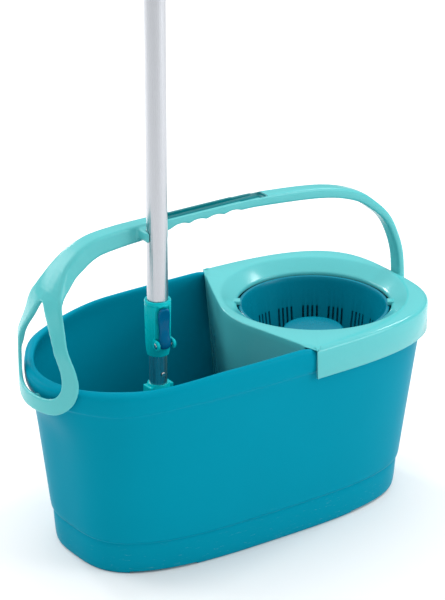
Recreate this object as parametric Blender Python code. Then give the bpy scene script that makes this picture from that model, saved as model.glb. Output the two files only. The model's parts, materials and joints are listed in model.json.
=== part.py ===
"""Spin mop set: an oval bucket with a spinning drain basket and a telescopic twist mop clipped to the handle.

Metres, +Z up. The origin is on the floor under the middle of the whole set's box.
The pouring lip and the mop are at -X, the spin basket at +X, and -Y is the front.
"""

import math

import bmesh
import bpy
from mathutils import Matrix, Vector

# Bucket
BUCKET_X = 0.0065
BASE_LENGTH, BASE_WIDTH, BASE_POWER = 0.434, 0.207, 3.1
SHOULDER_LENGTH, SHOULDER_WIDTH, SHOULDER_Z = 0.473, 0.258, 0.214
LIP_LENGTH, LIP_WIDTH, TOP_POWER = 0.480, 0.266, 3.4
RIM_Z = 0.2485
RIM_UNDER_INSERT = 0.2439
WALL = 0.0026
FLOOR_Z = 0.0080
FOOT_HEIGHT = 0.0030
ARCH_NEAR, ARCH_FAR = 0.110, 0.187
BAND_Z = 0.038
SPOUT_REACH, SPOUT_HALF_WIDTH = 0.019, 0.086
SPOUT_FOOT_Z, SPOUT_HEAD_Z = 0.150, 0.222

# Spin insert and basket
BASKET_X = 0.1304
INSERT_TOP = 0.2482
INSERT_SHEET = 0.0024
SKIRT_GAP = 0.0034
SKIRT_BOTTOM = 0.2110
OPENING_RADIUS, FUNNEL_RADIUS = 0.0915, 0.1085
OPENING_Z, OPENING_BOTTOM = 0.2357, 0.2310
PARTITION_BOTTOM, PARTITION_DRAFT = 0.110, 0.92
TAB_ANGLE = math.radians(-35)
BASKET_RADIUS, BASKET_TOP, BASKET_FLOOR = 0.0893, 0.2325, 0.1500
HUB_RADIUS, HUB_TOP = 0.0360, 0.2020
SLOT_GROUPS, SLOTS_IN_GROUP = 16, 4
SLOT_WIDTH, SLOT_PITCH = 0.0024, 0.0056
SLOT_LOW, SLOT_HIGH = 0.158, 0.1965
SPINDLE_RADIUS, SPINDLE_LOW, SPINDLE_TOP = 0.0040, 0.1203, 0.1950
POST_TOP = 0.1625

# Carry handle
HANDLE_REACH = 0.261
PIVOT_Z = 0.212
PEG_RADIUS = 0.0062
LOOP_SHEET = 0.0050
LOOP_CURVE = 0.088
FINGER_PITCH, FINGER_DEPTH, FINGERS = 0.024, 0.0032, 4
FINGER_START = -0.0770

# Mop
POLE_X, POLE_Y = -0.1090, -0.0270
OUTER_RADIUS, INNER_RADIUS, UPPER_RADIUS = 0.0119, 0.0103, 0.0103
TUBE_WALL = 0.0008
COLLAR_LOW, COLLAR_HIGH, COLLAR_RADIUS = 0.240, 0.3070, 0.0152
LOWER_TUBE_LOW, LOWER_TUBE_TOP = 0.268, 0.820
UPPER_TUBE_LOW, UPPER_TUBE_HIGH = 0.510, 1.040
INNER_TUBE_LOW, INNER_TUBE_HIGH = 0.205, 0.400
LEVER_YAW = math.radians(-8)
LEVER_PIN_Z, LEVER_TOP_Z = 0.2580, 0.3010
LEVER_PIN_OUT = 0.0185
HEAD_PIN_Z = 0.1780
BUTTON_Z = 0.2175
PLATE_Z, PLATE_RADIUS = 0.1440, 0.0720
STRAND_LOW = 0.036
SPIRAL_LEAD = 0.060

GAP = 0.0003
OUTLINE_POINTS = 60
ROUND_STEPS = 32
SMALL_STEPS = 20


# ---------------------------------------------------------------- materials

def material(name, colour, roughness, metallic=0.0):
    made = bpy.data.materials.new(name)
    made.use_nodes = True
    shader = made.node_tree.nodes["Principled BSDF"]
    shader.inputs["Base Color"].default_value = (*colour, 1.0)
    shader.inputs["Roughness"].default_value = roughness
    shader.inputs["Metallic"].default_value = metallic
    made.diffuse_color = (*colour, 1.0)
    return made


def petrol_plastic():
    return material("petrol_plastic", (0.0, 0.28, 0.42), 0.35)


def turquoise_plastic():
    return material("turquoise_plastic", (0.11, 0.61, 0.63), 0.32)


def teal_plastic():
    return material("teal_plastic", (0.0, 0.41, 0.45), 0.35)


def dark_petrol_plastic():
    return material("dark_petrol_plastic", (0.0, 0.11, 0.20), 0.35)


def blue_plastic():
    return material("blue_plastic", (0.0, 0.11, 0.28), 0.30)


def white_plastic():
    return material("white_plastic", (0.75, 0.76, 0.75), 0.40)


def grey_plastic():
    return material("grey_plastic", (0.16, 0.17, 0.18), 0.45)


def aluminium():
    return material("aluminium", (0.60, 0.63, 0.66), 0.30, 1.0)


def steel():
    return material("steel", (0.50, 0.51, 0.52), 0.25, 1.0)


def microfibre():
    return material("microfibre", (0.80, 0.82, 0.82), 0.90)


# ---------------------------------------------------------------- shape tools

def smooth_step(value):
    value = min(max(value, 0.0), 1.0)
    return value * value * (3.0 - 2.0 * value)


def between(low, high, share):
    return low + (high - low) * share


def finish_mesh(name, graph, smooth_angle=40.0):
    bmesh.ops.recalc_face_normals(graph, faces=graph.faces)
    mesh = bpy.data.meshes.new(name)
    graph.to_mesh(mesh)
    graph.free()
    mesh.shade_smooth()
    mesh.set_sharp_from_angle(angle=math.radians(smooth_angle))
    return mesh


def add_object(name, mesh, finish, location=(0.0, 0.0, 0.0), turn=0.0):
    made = bpy.data.objects.new(name, mesh)
    bpy.context.scene.collection.objects.link(made)
    made.location = location
    made.rotation_euler = (0.0, 0.0, turn)
    if finish is not None:
        mesh.materials.clear()
        mesh.materials.append(finish)
    return made


def add_helper(name, mesh, location=(0.0, 0.0, 0.0), turn=0.0):
    """A cutter or a piece to be joined on, which isn't a node."""
    made = add_object(name, mesh, None, location, turn)
    made.hide_render = True
    made.display_type = "WIRE"
    return made


def boolean(target, helper, operation):
    modifier = target.modifiers.new(helper.name, "BOOLEAN")
    modifier.object = helper
    modifier.operation = operation
    modifier.solver = "EXACT"


def loft(name, rings, closed=False, smooth_angle=40.0):
    """A skin over rings of equally many points. Open ends get caps; closed joins the last ring to the first."""
    graph = bmesh.new()
    made = [[graph.verts.new(point) for point in ring] for ring in rings]
    pairs = list(zip(made, made[1:]))
    if closed:
        pairs.append((made[-1], made[0]))
    for lower, upper in pairs:
        for here in range(len(lower)):
            after = (here + 1) % len(lower)
            graph.faces.new((lower[here], lower[after], upper[after], upper[here]))
    if not closed:
        graph.faces.new(made[0])
        graph.faces.new(made[-1])
    return finish_mesh(name, graph, smooth_angle)


def circle(radius, z, steps, centre=(0.0, 0.0)):
    return [
        Vector((
            centre[0] + radius * math.cos(math.tau * k / steps),
            centre[1] + radius * math.sin(math.tau * k / steps),
            z,
        ))
        for k in range(steps)
    ]


def turned(name, profile, steps=ROUND_STEPS, closed=False, smooth_angle=40.0):
    """A turned solid about Z: profile is (radius, z) pairs. Closed makes a ring with a hole through it."""
    rings = [circle(radius, z, steps) for radius, z in profile]
    return loft(name, rings, closed, smooth_angle)


def pipe(name, outer, inner, low, high, steps=ROUND_STEPS):
    profile = [(outer, low), (outer, high), (inner, high), (inner, low)]
    return turned(name, profile, steps, closed=True)


def rod(name, radius, low, high, steps=SMALL_STEPS, chamfer=0.0004):
    profile = [
        (radius - chamfer, low),
        (radius, low + chamfer),
        (radius, high - chamfer),
        (radius - chamfer, high),
    ]
    return turned(name, profile, steps)


def block(name, low, high, bevel=0.0):
    graph = bmesh.new()
    bmesh.ops.create_cube(graph, size=1.0)
    size = [b - a for a, b in zip(low, high)]
    middle = [(a + b) / 2 for a, b in zip(low, high)]
    for vert in graph.verts:
        vert.co = Vector([m + s * c for m, s, c in zip(middle, size, vert.co)])
    if bevel:
        bmesh.ops.bevel(graph, geom=graph.edges[:], offset=bevel, segments=2, affect="EDGES", profile=0.5)
    return finish_mesh(name, graph)


def turn_mesh(mesh, angle, axis, about=(0.0, 0.0, 0.0)):
    """Turns a mesh about a line through a point, before its object is placed."""
    centre = Matrix.Translation(about)
    mesh.transform(centre @ Matrix.Rotation(angle, 4, axis) @ centre.inverted())
    return mesh


def curve_through(points, samples):
    """Even points along a Catmull-Rom curve through the given ones."""
    points = [Vector(p) for p in points]
    ends = [2 * points[0] - points[1]] + points + [2 * points[-1] - points[-2]]
    dense = []
    for a, b, c, d in zip(ends, ends[1:], ends[2:], ends[3:]):
        for k in range(12):
            t = k / 12
            dense.append(0.5 * (
                2 * b + (c - a) * t + (2 * a - 5 * b + 4 * c - d) * t ** 2 + (3 * b - a - 3 * c + d) * t ** 3
            ))
    dense.append(points[-1])
    return spread_evenly(dense, samples)


def spread_evenly(dense, samples):
    """As many points at even spacing along a line of many points."""
    reached = [0.0]
    for here, after in zip(dense, dense[1:]):
        reached.append(reached[-1] + (after - here).length)
    found, k = [], 0
    for step in range(samples):
        goal = reached[-1] * step / (samples - 1)
        while k < len(dense) - 2 and reached[k + 1] < goal:
            k += 1
        share = (goal - reached[k]) / max(reached[k + 1] - reached[k], 1e-9)
        found.append(dense[k].lerp(dense[k + 1], min(share, 1.0)))
    return found


# ---------------------------------------------------------------- bucket

def oval_point(angle, length, width, power):
    """A point of a squared oval: |x/a|^p + |y/b|^p = 1, about the bucket's middle."""
    a, b = length / 2, width / 2
    away = math.atan2(b * math.sin(angle), a * math.cos(angle))
    cosine, sine = abs(math.cos(away) / a), abs(math.sin(away) / b)
    radius = (cosine ** power + sine ** power) ** (-1 / power)
    return radius * math.cos(away), radius * math.sin(away)


def spout(y, z):
    """How far the pouring lip stands out of the oval at the -X end."""
    across = max(0.0, 1 - (y / SPOUT_HALF_WIDTH) ** 2) ** 2
    return SPOUT_REACH * across * smooth_step((z - SPOUT_FOOT_Z) / (SPOUT_HEAD_Z - SPOUT_FOOT_Z))


def rim_height(x, y):
    """The rim dips towards the pouring lip, and steps down under the spin insert."""
    covered, before, run = (SKIRT_NEAR_X, 0.0200, 0.0100) if y < 0 else (SKIRT_FAR_X, 0.0280, 0.0180)
    step = (RIM_Z - RIM_UNDER_INSERT) * smooth_step((x - covered + before) / run)
    dip = 0.0095 * smooth_step((-0.080 - x) / 0.120) + 0.006 * smooth_step((-0.190 - x) / 0.050)
    return RIM_Z - dip - step


def shoulder_height(x):
    return SHOULDER_Z - 0.008 * smooth_step((-0.130 - x) / 0.100)


def bucket_ring(length, width, power, height, inset=0.0, count=OUTLINE_POINTS):
    """A ring of the bucket. height is a number or a function of x and y, inset one of x."""
    ring = []
    for k in range(count):
        angle = math.tau * (k + 0.5) / count
        x, y = oval_point(angle, length, width, power)
        shrink = inset(x) if callable(inset) else inset
        x, y = oval_point(angle, length - 2 * shrink, width - 2 * shrink, power)
        z = height(x + BUCKET_X, y) if callable(height) else height
        if x < 0:
            x -= spout(y, z)
        ring.append(Vector((x + BUCKET_X, y, z)))
    return ring


def body_ring(z, inset=0.0):
    """A ring of the tapered wall, between the base and the shoulder."""
    share = z / SHOULDER_Z
    return bucket_ring(
        between(BASE_LENGTH, SHOULDER_LENGTH, share),
        between(BASE_WIDTH, SHOULDER_WIDTH, share),
        between(BASE_POWER, TOP_POWER, share),
        z,
        inset,
    )


def lip_ring(share, inset):
    """A ring of the lip, from the shoulder (share 0) to the rim (share 1)."""
    return bucket_ring(
        LIP_LENGTH,
        LIP_WIDTH,
        TOP_POWER,
        lambda x, y: between(shoulder_height(x), rim_height(x, y), share),
        inset,
    )


def with_feet(ring):
    """Lifts the ring between the long middle foot of each side and the two end feet, in four shallow arches."""
    for point in ring:
        if ARCH_NEAR < abs(point.x - BUCKET_X) < ARCH_FAR:
            point.z += FOOT_HEIGHT
    return ring


def wide_lip(x):
    """The rim's crest lies further in from the lip's edge towards the spout."""
    return 0.0055 + 0.0040 * smooth_step((-0.110 - x) / 0.110)


def bucket_mesh():
    rings = [
        body_ring(0.0055, 0.017),
        with_feet(body_ring(0.0, 0.015)),
        with_feet(body_ring(0.0, 0.0030)),
        with_feet(body_ring(0.0022, 0.0010)),
        body_ring(BAND_Z - 0.0015, 0.0018),
        body_ring(BAND_Z, 0.0026),
        body_ring(BAND_Z + 0.0022, 0.0026),
        body_ring(BAND_Z + 0.0034, 0.0),
        body_ring(0.100),
        body_ring(0.160),
        body_ring(0.198),
        lip_ring(0.06, 0.0034),
        lip_ring(0.16, 0.0008),
        lip_ring(0.45, 0.0002),
        lip_ring(0.80, 0.0),
        lip_ring(0.93, 0.0012),
        lip_ring(0.985, lambda x: 0.6 * wide_lip(x)),
        lip_ring(1.0, wide_lip),
        lip_ring(0.985, lambda x: wide_lip(x) + 0.0022),
        lip_ring(0.86, lambda x: wide_lip(x) + 0.0030),
        lip_ring(0.30, 0.0064),
        body_ring(0.198, WALL),
        body_ring(0.160, WALL),
        body_ring(0.100, WALL),
        body_ring(0.030, WALL + 0.0008),
        body_ring(0.0130, WALL + 0.0035),
        body_ring(FLOOR_Z, WALL + 0.0100),
    ]
    return loft("bucket", rings, smooth_angle=50.0)


def peg_hole(side):
    hole = rod(f"peg_hole_{side}", PEG_RADIUS + 0.0004, -0.02, 0.02)
    turn_mesh(hole, math.pi / 2, "Y")
    return add_helper(hole.name, hole, (side * 0.2470, 0.0, PIVOT_Z))


def bucket(finish):
    made = add_object("bucket", bucket_mesh(), finish)
    for side in (-1, 1):
        boolean(made, peg_hole(side), "DIFFERENCE")
    return made


# ---------------------------------------------------------------- spin insert

PARTITION = [
    (0.0290, -0.1195), (0.0270, -0.1120), (0.0230, -0.0940), (0.0150, -0.0580), (0.0080, -0.0220),
    (0.0110, 0.0150), (0.0290, 0.0600), (0.0450, 0.0950), (0.0530, 0.1120), (0.0560, 0.1195),
]
SKIRT_NEAR_X, SKIRT_FAR_X = 0.0350, 0.0660


def skirt_line(count):
    """The insert's outer edge, just outside the bucket's lip, from the front round the +X end to the back."""
    dense = []
    for k in range(721):
        angle = math.pi * (k / 720 - 0.5) * 1.2
        x, y = oval_point(angle, LIP_LENGTH + 2 * SKIRT_GAP, LIP_WIDTH + 2 * SKIRT_GAP, TOP_POWER)
        point = Vector((x + BUCKET_X, y, 0.0))
        first = SKIRT_NEAR_X if y < 0 else SKIRT_FAR_X
        if point.x >= first:
            dense.append(point)
    return spread_evenly(dense, count)


def insert_outline():
    """The insert's edge as (point, bottom z, draft) round it: the skirt, and the partition between its ends."""
    lintel = INSERT_TOP - INSERT_SHEET - GAP
    skirt = skirt_line(44)
    partition = curve_through([(x, y, 0.0) for x, y in reversed(PARTITION)], 22)
    outline = [(point, SKIRT_BOTTOM, 1.0) for point in skirt]
    outline.append((skirt[-1] + Vector((-0.0008, 0.0, 0.0)), lintel, 1.0))
    outline.append((skirt[-1].lerp(partition[0], 0.5), lintel, 1.0))
    outline.append((partition[0], lintel, 1.0))
    outline += [(point, PARTITION_BOTTOM, PARTITION_DRAFT) for point in partition[1:-1]]
    outline.append((partition[-1], lintel, 1.0))
    outline.append((partition[-1].lerp(skirt[0], 0.5), lintel, 1.0))
    outline.append((skirt[0] + Vector((-0.0008, 0.0, 0.0)), lintel, 1.0))
    return outline


def insert_ring(outline, inset, z):
    """The outline moved in by inset along its normals, at the height z(bottom)."""
    points = [point for point, _, _ in outline]
    ring = []
    for k, (point, bottom, draft) in enumerate(outline):
        along = points[(k + 1) % len(points)] - points[k - 1]
        inward = Vector((-along.y, along.x, 0.0)).normalized()
        moved = point + inward * inset
        height = z(bottom)
        if draft < 1.0:
            share = (INSERT_TOP - height) / (INSERT_TOP - bottom)
            centre = Vector((BASKET_X, 0.0, 0.0))
            moved = centre + (moved - centre) * between(1.0, draft, share)
        ring.append(Vector((moved.x, moved.y, height)))
    return ring


def opening_ring(outline, radius, z):
    """A circle round the basket's axis, with each point towards one of the outline's."""
    ring = []
    for point, _, _ in outline:
        away = Vector((point.x - BASKET_X, point.y, 0.0)).normalized() * radius
        ring.append(Vector((BASKET_X + away.x, away.y, z)))
    return ring


def peg_notch():
    """The slot in the skirt that clears the carry handle's peg."""
    notch = block("peg_notch", (0.2300, -0.0085, SKIRT_BOTTOM - 0.0100), (0.2600, 0.0085, PIVOT_Z + 0.0085), 0.0012)
    return add_helper("peg_notch", notch)


def basket_tab(side):
    """One of the two small tabs that reach over the basket's edge and keep it down."""
    low = (OPENING_RADIUS - 0.0048, -0.0055, BASKET_TOP + 0.0006)
    high = (OPENING_RADIUS + 0.0040, 0.0055, OPENING_Z + 0.0022)
    tab = turn_mesh(block(f"basket_tab_{side}", low, high, 0.0008), TAB_ANGLE + math.pi * side, "Z")
    return add_helper(tab.name, tab, (BASKET_X, 0.0, 0.0))


def spin_insert(finish):
    outline = insert_outline()
    sheet = INSERT_SHEET
    under = INSERT_TOP - sheet
    rings = [
        opening_ring(outline, OPENING_RADIUS, OPENING_BOTTOM),
        opening_ring(outline, OPENING_RADIUS + 0.0004, OPENING_Z),
        opening_ring(outline, FUNNEL_RADIUS, INSERT_TOP - 0.0012),
        opening_ring(outline, FUNNEL_RADIUS + 0.0020, INSERT_TOP),
        insert_ring(outline, 0.0042, lambda bottom: INSERT_TOP),
        insert_ring(outline, 0.0012, lambda bottom: INSERT_TOP - 0.0010),
        insert_ring(outline, 0.0, lambda bottom: max(INSERT_TOP - 0.0042, bottom + 0.0010)),
        insert_ring(outline, 0.0, lambda bottom: bottom),
        insert_ring(outline, sheet, lambda bottom: bottom),
        insert_ring(outline, sheet, lambda bottom: max(under - 0.0030, bottom + 0.0001)),
        insert_ring(outline, 0.0044, lambda bottom: under),
        opening_ring(outline, FUNNEL_RADIUS + 0.0014, under),
        opening_ring(outline, OPENING_RADIUS + 0.0028, OPENING_Z - 0.0010),
        opening_ring(outline, OPENING_RADIUS + 0.0024, OPENING_BOTTOM),
    ]
    made = add_object("spin_insert", loft("spin_insert", rings, closed=True), finish)
    boolean(made, peg_notch(), "DIFFERENCE")
    for side in (0, 1):
        boolean(made, basket_tab(side), "UNION")
    return made


# ---------------------------------------------------------------- spin basket

def slot_cutter():
    """All the basket's slots as one cutter: groups of upright slots round the wall."""
    graph = bmesh.new()
    for group in range(SLOT_GROUPS):
        for slot in range(SLOTS_IN_GROUP):
            sideways = (slot - (SLOTS_IN_GROUP - 1) / 2) * SLOT_PITCH
            turn = Matrix.Rotation(math.tau * (group + 0.5) / SLOT_GROUPS, 4, "Z")
            place = turn @ Matrix.Translation((0.0790, sideways, (SLOT_LOW + SLOT_HIGH) / 2))
            size = Matrix.Diagonal((0.020, SLOT_WIDTH, SLOT_HIGH - SLOT_LOW, 1.0))
            bmesh.ops.create_cube(graph, size=1.0, matrix=place @ size)
    mesh = finish_mesh("basket_slots", graph)
    return add_helper("basket_slots", mesh, (BASKET_X, 0.0, 0.0))


def spin_basket(finish):
    floor, top, sheet = BASKET_FLOOR, BASKET_TOP, 0.0022
    profile = [
        (0.0010, HUB_TOP),
        (HUB_RADIUS - 0.0020, HUB_TOP),
        (HUB_RADIUS, HUB_TOP - 0.0016),
        (HUB_RADIUS + 0.0030, floor + 0.0040),
        (HUB_RADIUS + 0.0070, floor),
        (0.0700, floor),
        (0.0750, floor + 0.0055),
        (0.0845, top - 0.0050),
        (0.0857, top),
        (BASKET_RADIUS, top),
        (BASKET_RADIUS, top - 0.0022),
        (0.0869, top - 0.0032),
        (0.0772, floor + 0.0048),
        (0.0716, floor - sheet),
        (HUB_RADIUS + 0.0060, floor - sheet),
        (HUB_RADIUS + 0.0008, floor + 0.0040),
        (HUB_RADIUS - 0.0022, HUB_TOP - 0.0038),
        (0.0105, HUB_TOP - 0.0030),
        (0.0105, SPINDLE_TOP - 0.0280),
        (0.0068, SPINDLE_TOP - 0.0280),
        (0.0068, SPINDLE_TOP + 0.0020),
        (0.0010, SPINDLE_TOP + 0.0020),
    ]
    mesh = turned("spin_basket", profile, 48)
    made = add_object("spin_basket", mesh, finish, (BASKET_X, 0.0, 0.0))
    boolean(made, slot_cutter(), "DIFFERENCE")
    return made


def pivot_post(finish):
    low = FLOOR_Z + GAP
    profile = [
        (0.0300, low),
        (0.0300, low + 0.0030),
        (0.0190, low + 0.0120),
        (0.0130, 0.1400),
        (0.0120, POST_TOP),
        (SPINDLE_RADIUS + GAP, POST_TOP),
        (SPINDLE_RADIUS + GAP, SPINDLE_LOW - GAP),
        (0.0020, SPINDLE_LOW - GAP),
    ]
    return add_object("pivot_post", turned("pivot_post", profile), finish, (BASKET_X, 0.0, 0.0))


def basket_spindle(finish):
    mesh = rod("basket_spindle", SPINDLE_RADIUS, SPINDLE_LOW, SPINDLE_TOP)
    return add_object("basket_spindle", mesh, finish, (BASKET_X, 0.0, 0.0))


def basket_bush(finish):
    mesh = pipe(
        "basket_bush", 0.0065, SPINDLE_RADIUS + GAP, SPINDLE_TOP - 0.0286, SPINDLE_TOP - 0.0010, SMALL_STEPS
    )
    return add_object("basket_bush", mesh, finish, (BASKET_X, 0.0, 0.0))


def thrust_washer(finish):
    mesh = pipe(
        "thrust_washer", 0.0100, SPINDLE_RADIUS + GAP, POST_TOP + GAP, POST_TOP + 0.0025, SMALL_STEPS
    )
    return add_object("thrust_washer", mesh, finish, (BASKET_X, 0.0, 0.0))


# ---------------------------------------------------------------- carry handle

# The loop at the spout: half widths at heights over the pivot, outside and at the hole.
LOOP_OUTSIDE = [
    (0.0000, -0.0110), (0.0200, -0.0106), (0.0370, -0.0080), (0.0500, 0.0005), (0.0585, 0.0130),
    (0.0625, 0.0290), (0.0610, 0.0440), (0.0562, 0.0600), (0.0480, 0.0785), (0.0415, 0.0960),
    (0.0380, 0.1110), (0.0325, 0.1230), (0.0200, 0.1300), (0.0000, 0.1315),
]
LOOP_HOLE = [
    (0.0000, 0.0080), (0.0150, 0.0082), (0.0285, 0.0102), (0.0365, 0.0145), (0.0427, 0.0234),
    (0.0443, 0.0370), (0.0405, 0.0543), (0.0310, 0.0735), (0.0185, 0.0912), (0.0095, 0.1055),
    (0.0040, 0.1135), (0.0000, 0.1150),
]
# The bow's outer line: x, height over the pivot, width across, thickness.
BOW = [
    (-0.2447, 0.1185, 0.0660, 0.0055),
    (-0.2412, 0.1270, 0.0580, 0.0095),
    (-0.2362, 0.1362, 0.0480, 0.0140),
    (-0.2225, 0.1524, 0.0330, 0.0200),
    (-0.2080, 0.1636, 0.0275, 0.0225),
    (-0.1955, 0.1708, 0.0240, 0.0230),
    (-0.1756, 0.1772, 0.0215, 0.0226),
    (-0.1441, 0.1797, 0.0210, 0.0215),
    (-0.1100, 0.1800, 0.0210, 0.0195),
    (-0.0800, 0.1798, 0.0210, 0.0150),
    (-0.0250, 0.1796, 0.0210, 0.0132),
    (0.0200, 0.1790, 0.0210, 0.0128),
    (0.0450, 0.1780, 0.0200, 0.0130),
    (0.1150, 0.1715, 0.0190, 0.0135),
    (0.1590, 0.1632, 0.0190, 0.0130),
    (0.1930, 0.1500, 0.0190, 0.0120),
    (0.2140, 0.1346, 0.0190, 0.0110),
    (0.2330, 0.1165, 0.0190, 0.0100),
    (0.2460, 0.0950, 0.0190, 0.0095),
    (0.2570, 0.0640, 0.0190, 0.0095),
    (0.2605, 0.0300, 0.0190, 0.0095),
    (0.2610, 0.0000, 0.0200, 0.0095),
    (0.2605, -0.0120, 0.0160, 0.0090),
]


def loop_face(y, height):
    """The x of the loop's outer face: it bulges round the spout and leans in towards the bow."""
    lean = 0.0095 * smooth_step((height - 0.060) / 0.050) + 0.0040 * smooth_step((height - 0.088) / 0.030)
    lean += 0.30 * max(0.0, height - 0.108)
    return -HANDLE_REACH + y * y / (2 * LOOP_CURVE) + lean


def mirrored_line(half, count):
    """Even points round a closed line that is given as one half, from its bottom to its top."""
    right = curve_through([(y, z, 0.0) for y, z in half], count // 2 + 1)
    left = [Vector((-p.x, p.y, 0.0)) for p in reversed(right[1:-1])]
    return right + left


def loop_ring(line, depth):
    return [Vector((loop_face(p.x, p.y) + depth, p.x, PIVOT_Z + p.y)) for p in line]


def handle_loop():
    count = 36
    outside, hole = mirrored_line(LOOP_OUTSIDE, count), mirrored_line(LOOP_HOLE, count)
    inner_edge = [p.lerp(q, 0.10) for p, q in zip(outside, hole)]
    back_edge = [p.lerp(q, 0.18) for p, q in zip(outside, hole)]
    hole_edge = [p.lerp(q, 0.92) for p, q in zip(outside, hole)]
    rings = [
        loop_ring(outside, 0.0012),
        loop_ring(inner_edge, 0.0),
        loop_ring(hole_edge, 0.0),
        loop_ring(hole, 0.0010),
        loop_ring(hole, LOOP_SHEET - 0.0008),
        loop_ring(hole_edge, LOOP_SHEET),
        loop_ring(back_edge, LOOP_SHEET),
        loop_ring(inner_edge, LOOP_SHEET - 0.0008),
        loop_ring(outside, LOOP_SHEET - 0.0024),
    ]
    return loft("handle_loop", rings, closed=True)


def bow_section(point, outward, width, thickness):
    """A rounded bar section: its outer face at the point, its thickness inward. Near the loop it curves as the loop does."""
    half = width / 2
    edge = min(0.0035, thickness * 0.32)
    side = [
        (0.0, 0.0), (0.5 * half, 0.0), (half - edge, 0.0), (half - 0.3 * edge, 0.3 * edge), (half, edge),
        (half, thickness - edge), (half - 0.3 * edge, thickness - 0.3 * edge), (half - edge, thickness),
        (0.5 * half, thickness), (0.0, thickness),
    ]
    outline = side + [(-y, deep) for y, deep in reversed(side[1:-1])]
    curved = smooth_step((-0.190 - point.x) / 0.045) / (2 * LOOP_CURVE)
    return [point + Vector((curved * y * y, y, 0.0)) - outward * deep for y, deep in outline]


def bow_stations(samples):
    """The bow's rows (x, height, width, thickness) at even spacing along its line."""
    line = curve_through([(x, z, 0.0) for x, z, _, _ in BOW], 600)
    sizes = curve_through([(k, width, thickness) for k, (_, _, width, thickness) in enumerate(BOW)], 600)
    marks = [min(range(len(line)), key=lambda n: (line[n] - Vector((x, z, 0.0))).length) for x, z, _, _ in BOW]
    found = []
    for step in range(samples):
        n = round(step * (len(line) - 1) / (samples - 1))
        k = max(0, min(len(BOW) - 2, sum(mark <= n for mark in marks) - 1))
        share = (n - marks[k]) / max(marks[k + 1] - marks[k], 1)
        wanted = k + min(max(share, 0.0), 1.0)
        row = min(sizes, key=lambda size: abs(size.x - wanted))
        found.append((line[n].x, line[n].y, row.y, row.z))
    return found


def handle_bow():
    stations = bow_stations(40)
    rings = []
    for k, (x, z, width, thickness) in enumerate(stations):
        before, after = stations[max(k - 1, 0)], stations[min(k + 1, len(stations) - 1)]
        along = Vector((after[0] - before[0], 0.0, after[1] - before[1])).normalized()
        outward = Vector((-along.z, 0.0, along.x))
        rings.append(bow_section(Vector((x, 0.0, PIVOT_Z + z)), outward, width, thickness))
    return loft("handle_bow", rings)


def handle_peg(side):
    """A peg with a snap head, through the bucket's end wall."""
    wall_x = BUCKET_X + side * 0.2365 - (0.0180 if side < 0 else 0.0)
    tip = abs(wall_x) - 0.0075
    profile = [
        (0.0058, tip - 0.0030),
        (PEG_RADIUS + 0.0012, tip - 0.0014),
        (PEG_RADIUS + 0.0012, tip),
        (PEG_RADIUS, tip + 0.0004),
        (PEG_RADIUS, HANDLE_REACH - 0.0030),
    ]
    mesh = turned(f"handle_peg_{side}", profile, SMALL_STEPS)
    turn_mesh(mesh, side * math.pi / 2, "Y")
    return add_helper(mesh.name, mesh, (0.0, 0.0, PIVOT_Z))


def pole_clip():
    """A fork on the bow's front that the pole presses into; its jaws end level with the pole's middle."""
    low = (POLE_X - OUTER_RADIUS - 0.0026, POLE_Y - 0.0030, PIVOT_Z + 0.1640)
    high = (POLE_X + OUTER_RADIUS + 0.0026, -0.0080, PIVOT_Z + 0.1780)
    mesh = block("pole_clip", low, high, 0.0022)
    return add_helper("pole_clip", mesh)


def clip_seat():
    radius = OUTER_RADIUS + 0.0004
    mesh = rod("clip_seat", radius, PIVOT_Z + 0.150, PIVOT_Z + 0.190, ROUND_STEPS)
    return add_helper("clip_seat", mesh, (POLE_X, POLE_Y, 0.0))


def clip_mouth():
    radius = OUTER_RADIUS + 0.0004
    low = (POLE_X - radius, POLE_Y - 0.020, PIVOT_Z + 0.150)
    high = (POLE_X + radius, POLE_Y, PIVOT_Z + 0.190)
    return add_helper("clip_mouth", block("clip_mouth", low, high))


def finger_groove(k):
    """One of the finger hollows under the bow's grip."""
    radius = ((FINGER_PITCH / 2) ** 2 + FINGER_DEPTH ** 2) / (2 * FINGER_DEPTH)
    mesh = rod(f"finger_groove_{k}", radius, -0.03, 0.03, 48)
    turn_mesh(mesh, math.pi / 2, "X")
    x = FINGER_START + (k + 0.5) * FINGER_PITCH
    return add_helper(mesh.name, mesh, (x, 0.0, PIVOT_Z + 0.1664 + FINGER_DEPTH - radius))


def grip_channel():
    """The long recess on top of the grip."""
    low = (POLE_X + 0.018, -0.0058, PIVOT_Z + 0.1725)
    high = (FINGER_START + 5 * FINGER_PITCH + 0.010, 0.0058, PIVOT_Z + 0.190)
    return add_helper("grip_channel", block("grip_channel", low, high, 0.0008))


def carry_handle(finish):
    made = add_object("carry_handle", handle_bow(), finish)
    made.data.name = "carry_handle"
    boolean(made, add_helper("handle_loop", handle_loop()), "UNION")
    boolean(made, pole_clip(), "UNION")
    for side in (-1, 1):
        boolean(made, handle_peg(side), "UNION")
    boolean(made, clip_seat(), "DIFFERENCE")
    boolean(made, clip_mouth(), "DIFFERENCE")
    for k in range(FINGERS):
        boolean(made, finger_groove(k), "DIFFERENCE")
    boolean(made, grip_channel(), "DIFFERENCE")
    return made


# ---------------------------------------------------------------- mop: pole, collar and lever

def at_pole(name, mesh, finish, turn=0.0):
    return add_object(name, mesh, finish, (POLE_X, POLE_Y, 0.0), turn)


def lower_tube(finish):
    mesh = pipe("lower_tube", OUTER_RADIUS, OUTER_RADIUS - TUBE_WALL, LOWER_TUBE_LOW, LOWER_TUBE_TOP)
    return at_pole("lower_tube", mesh, finish)


def upper_tube(finish):
    mesh = pipe("upper_tube", UPPER_RADIUS, UPPER_RADIUS - TUBE_WALL, UPPER_TUBE_LOW, UPPER_TUBE_HIGH)
    return at_pole("upper_tube", mesh, finish)


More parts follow.
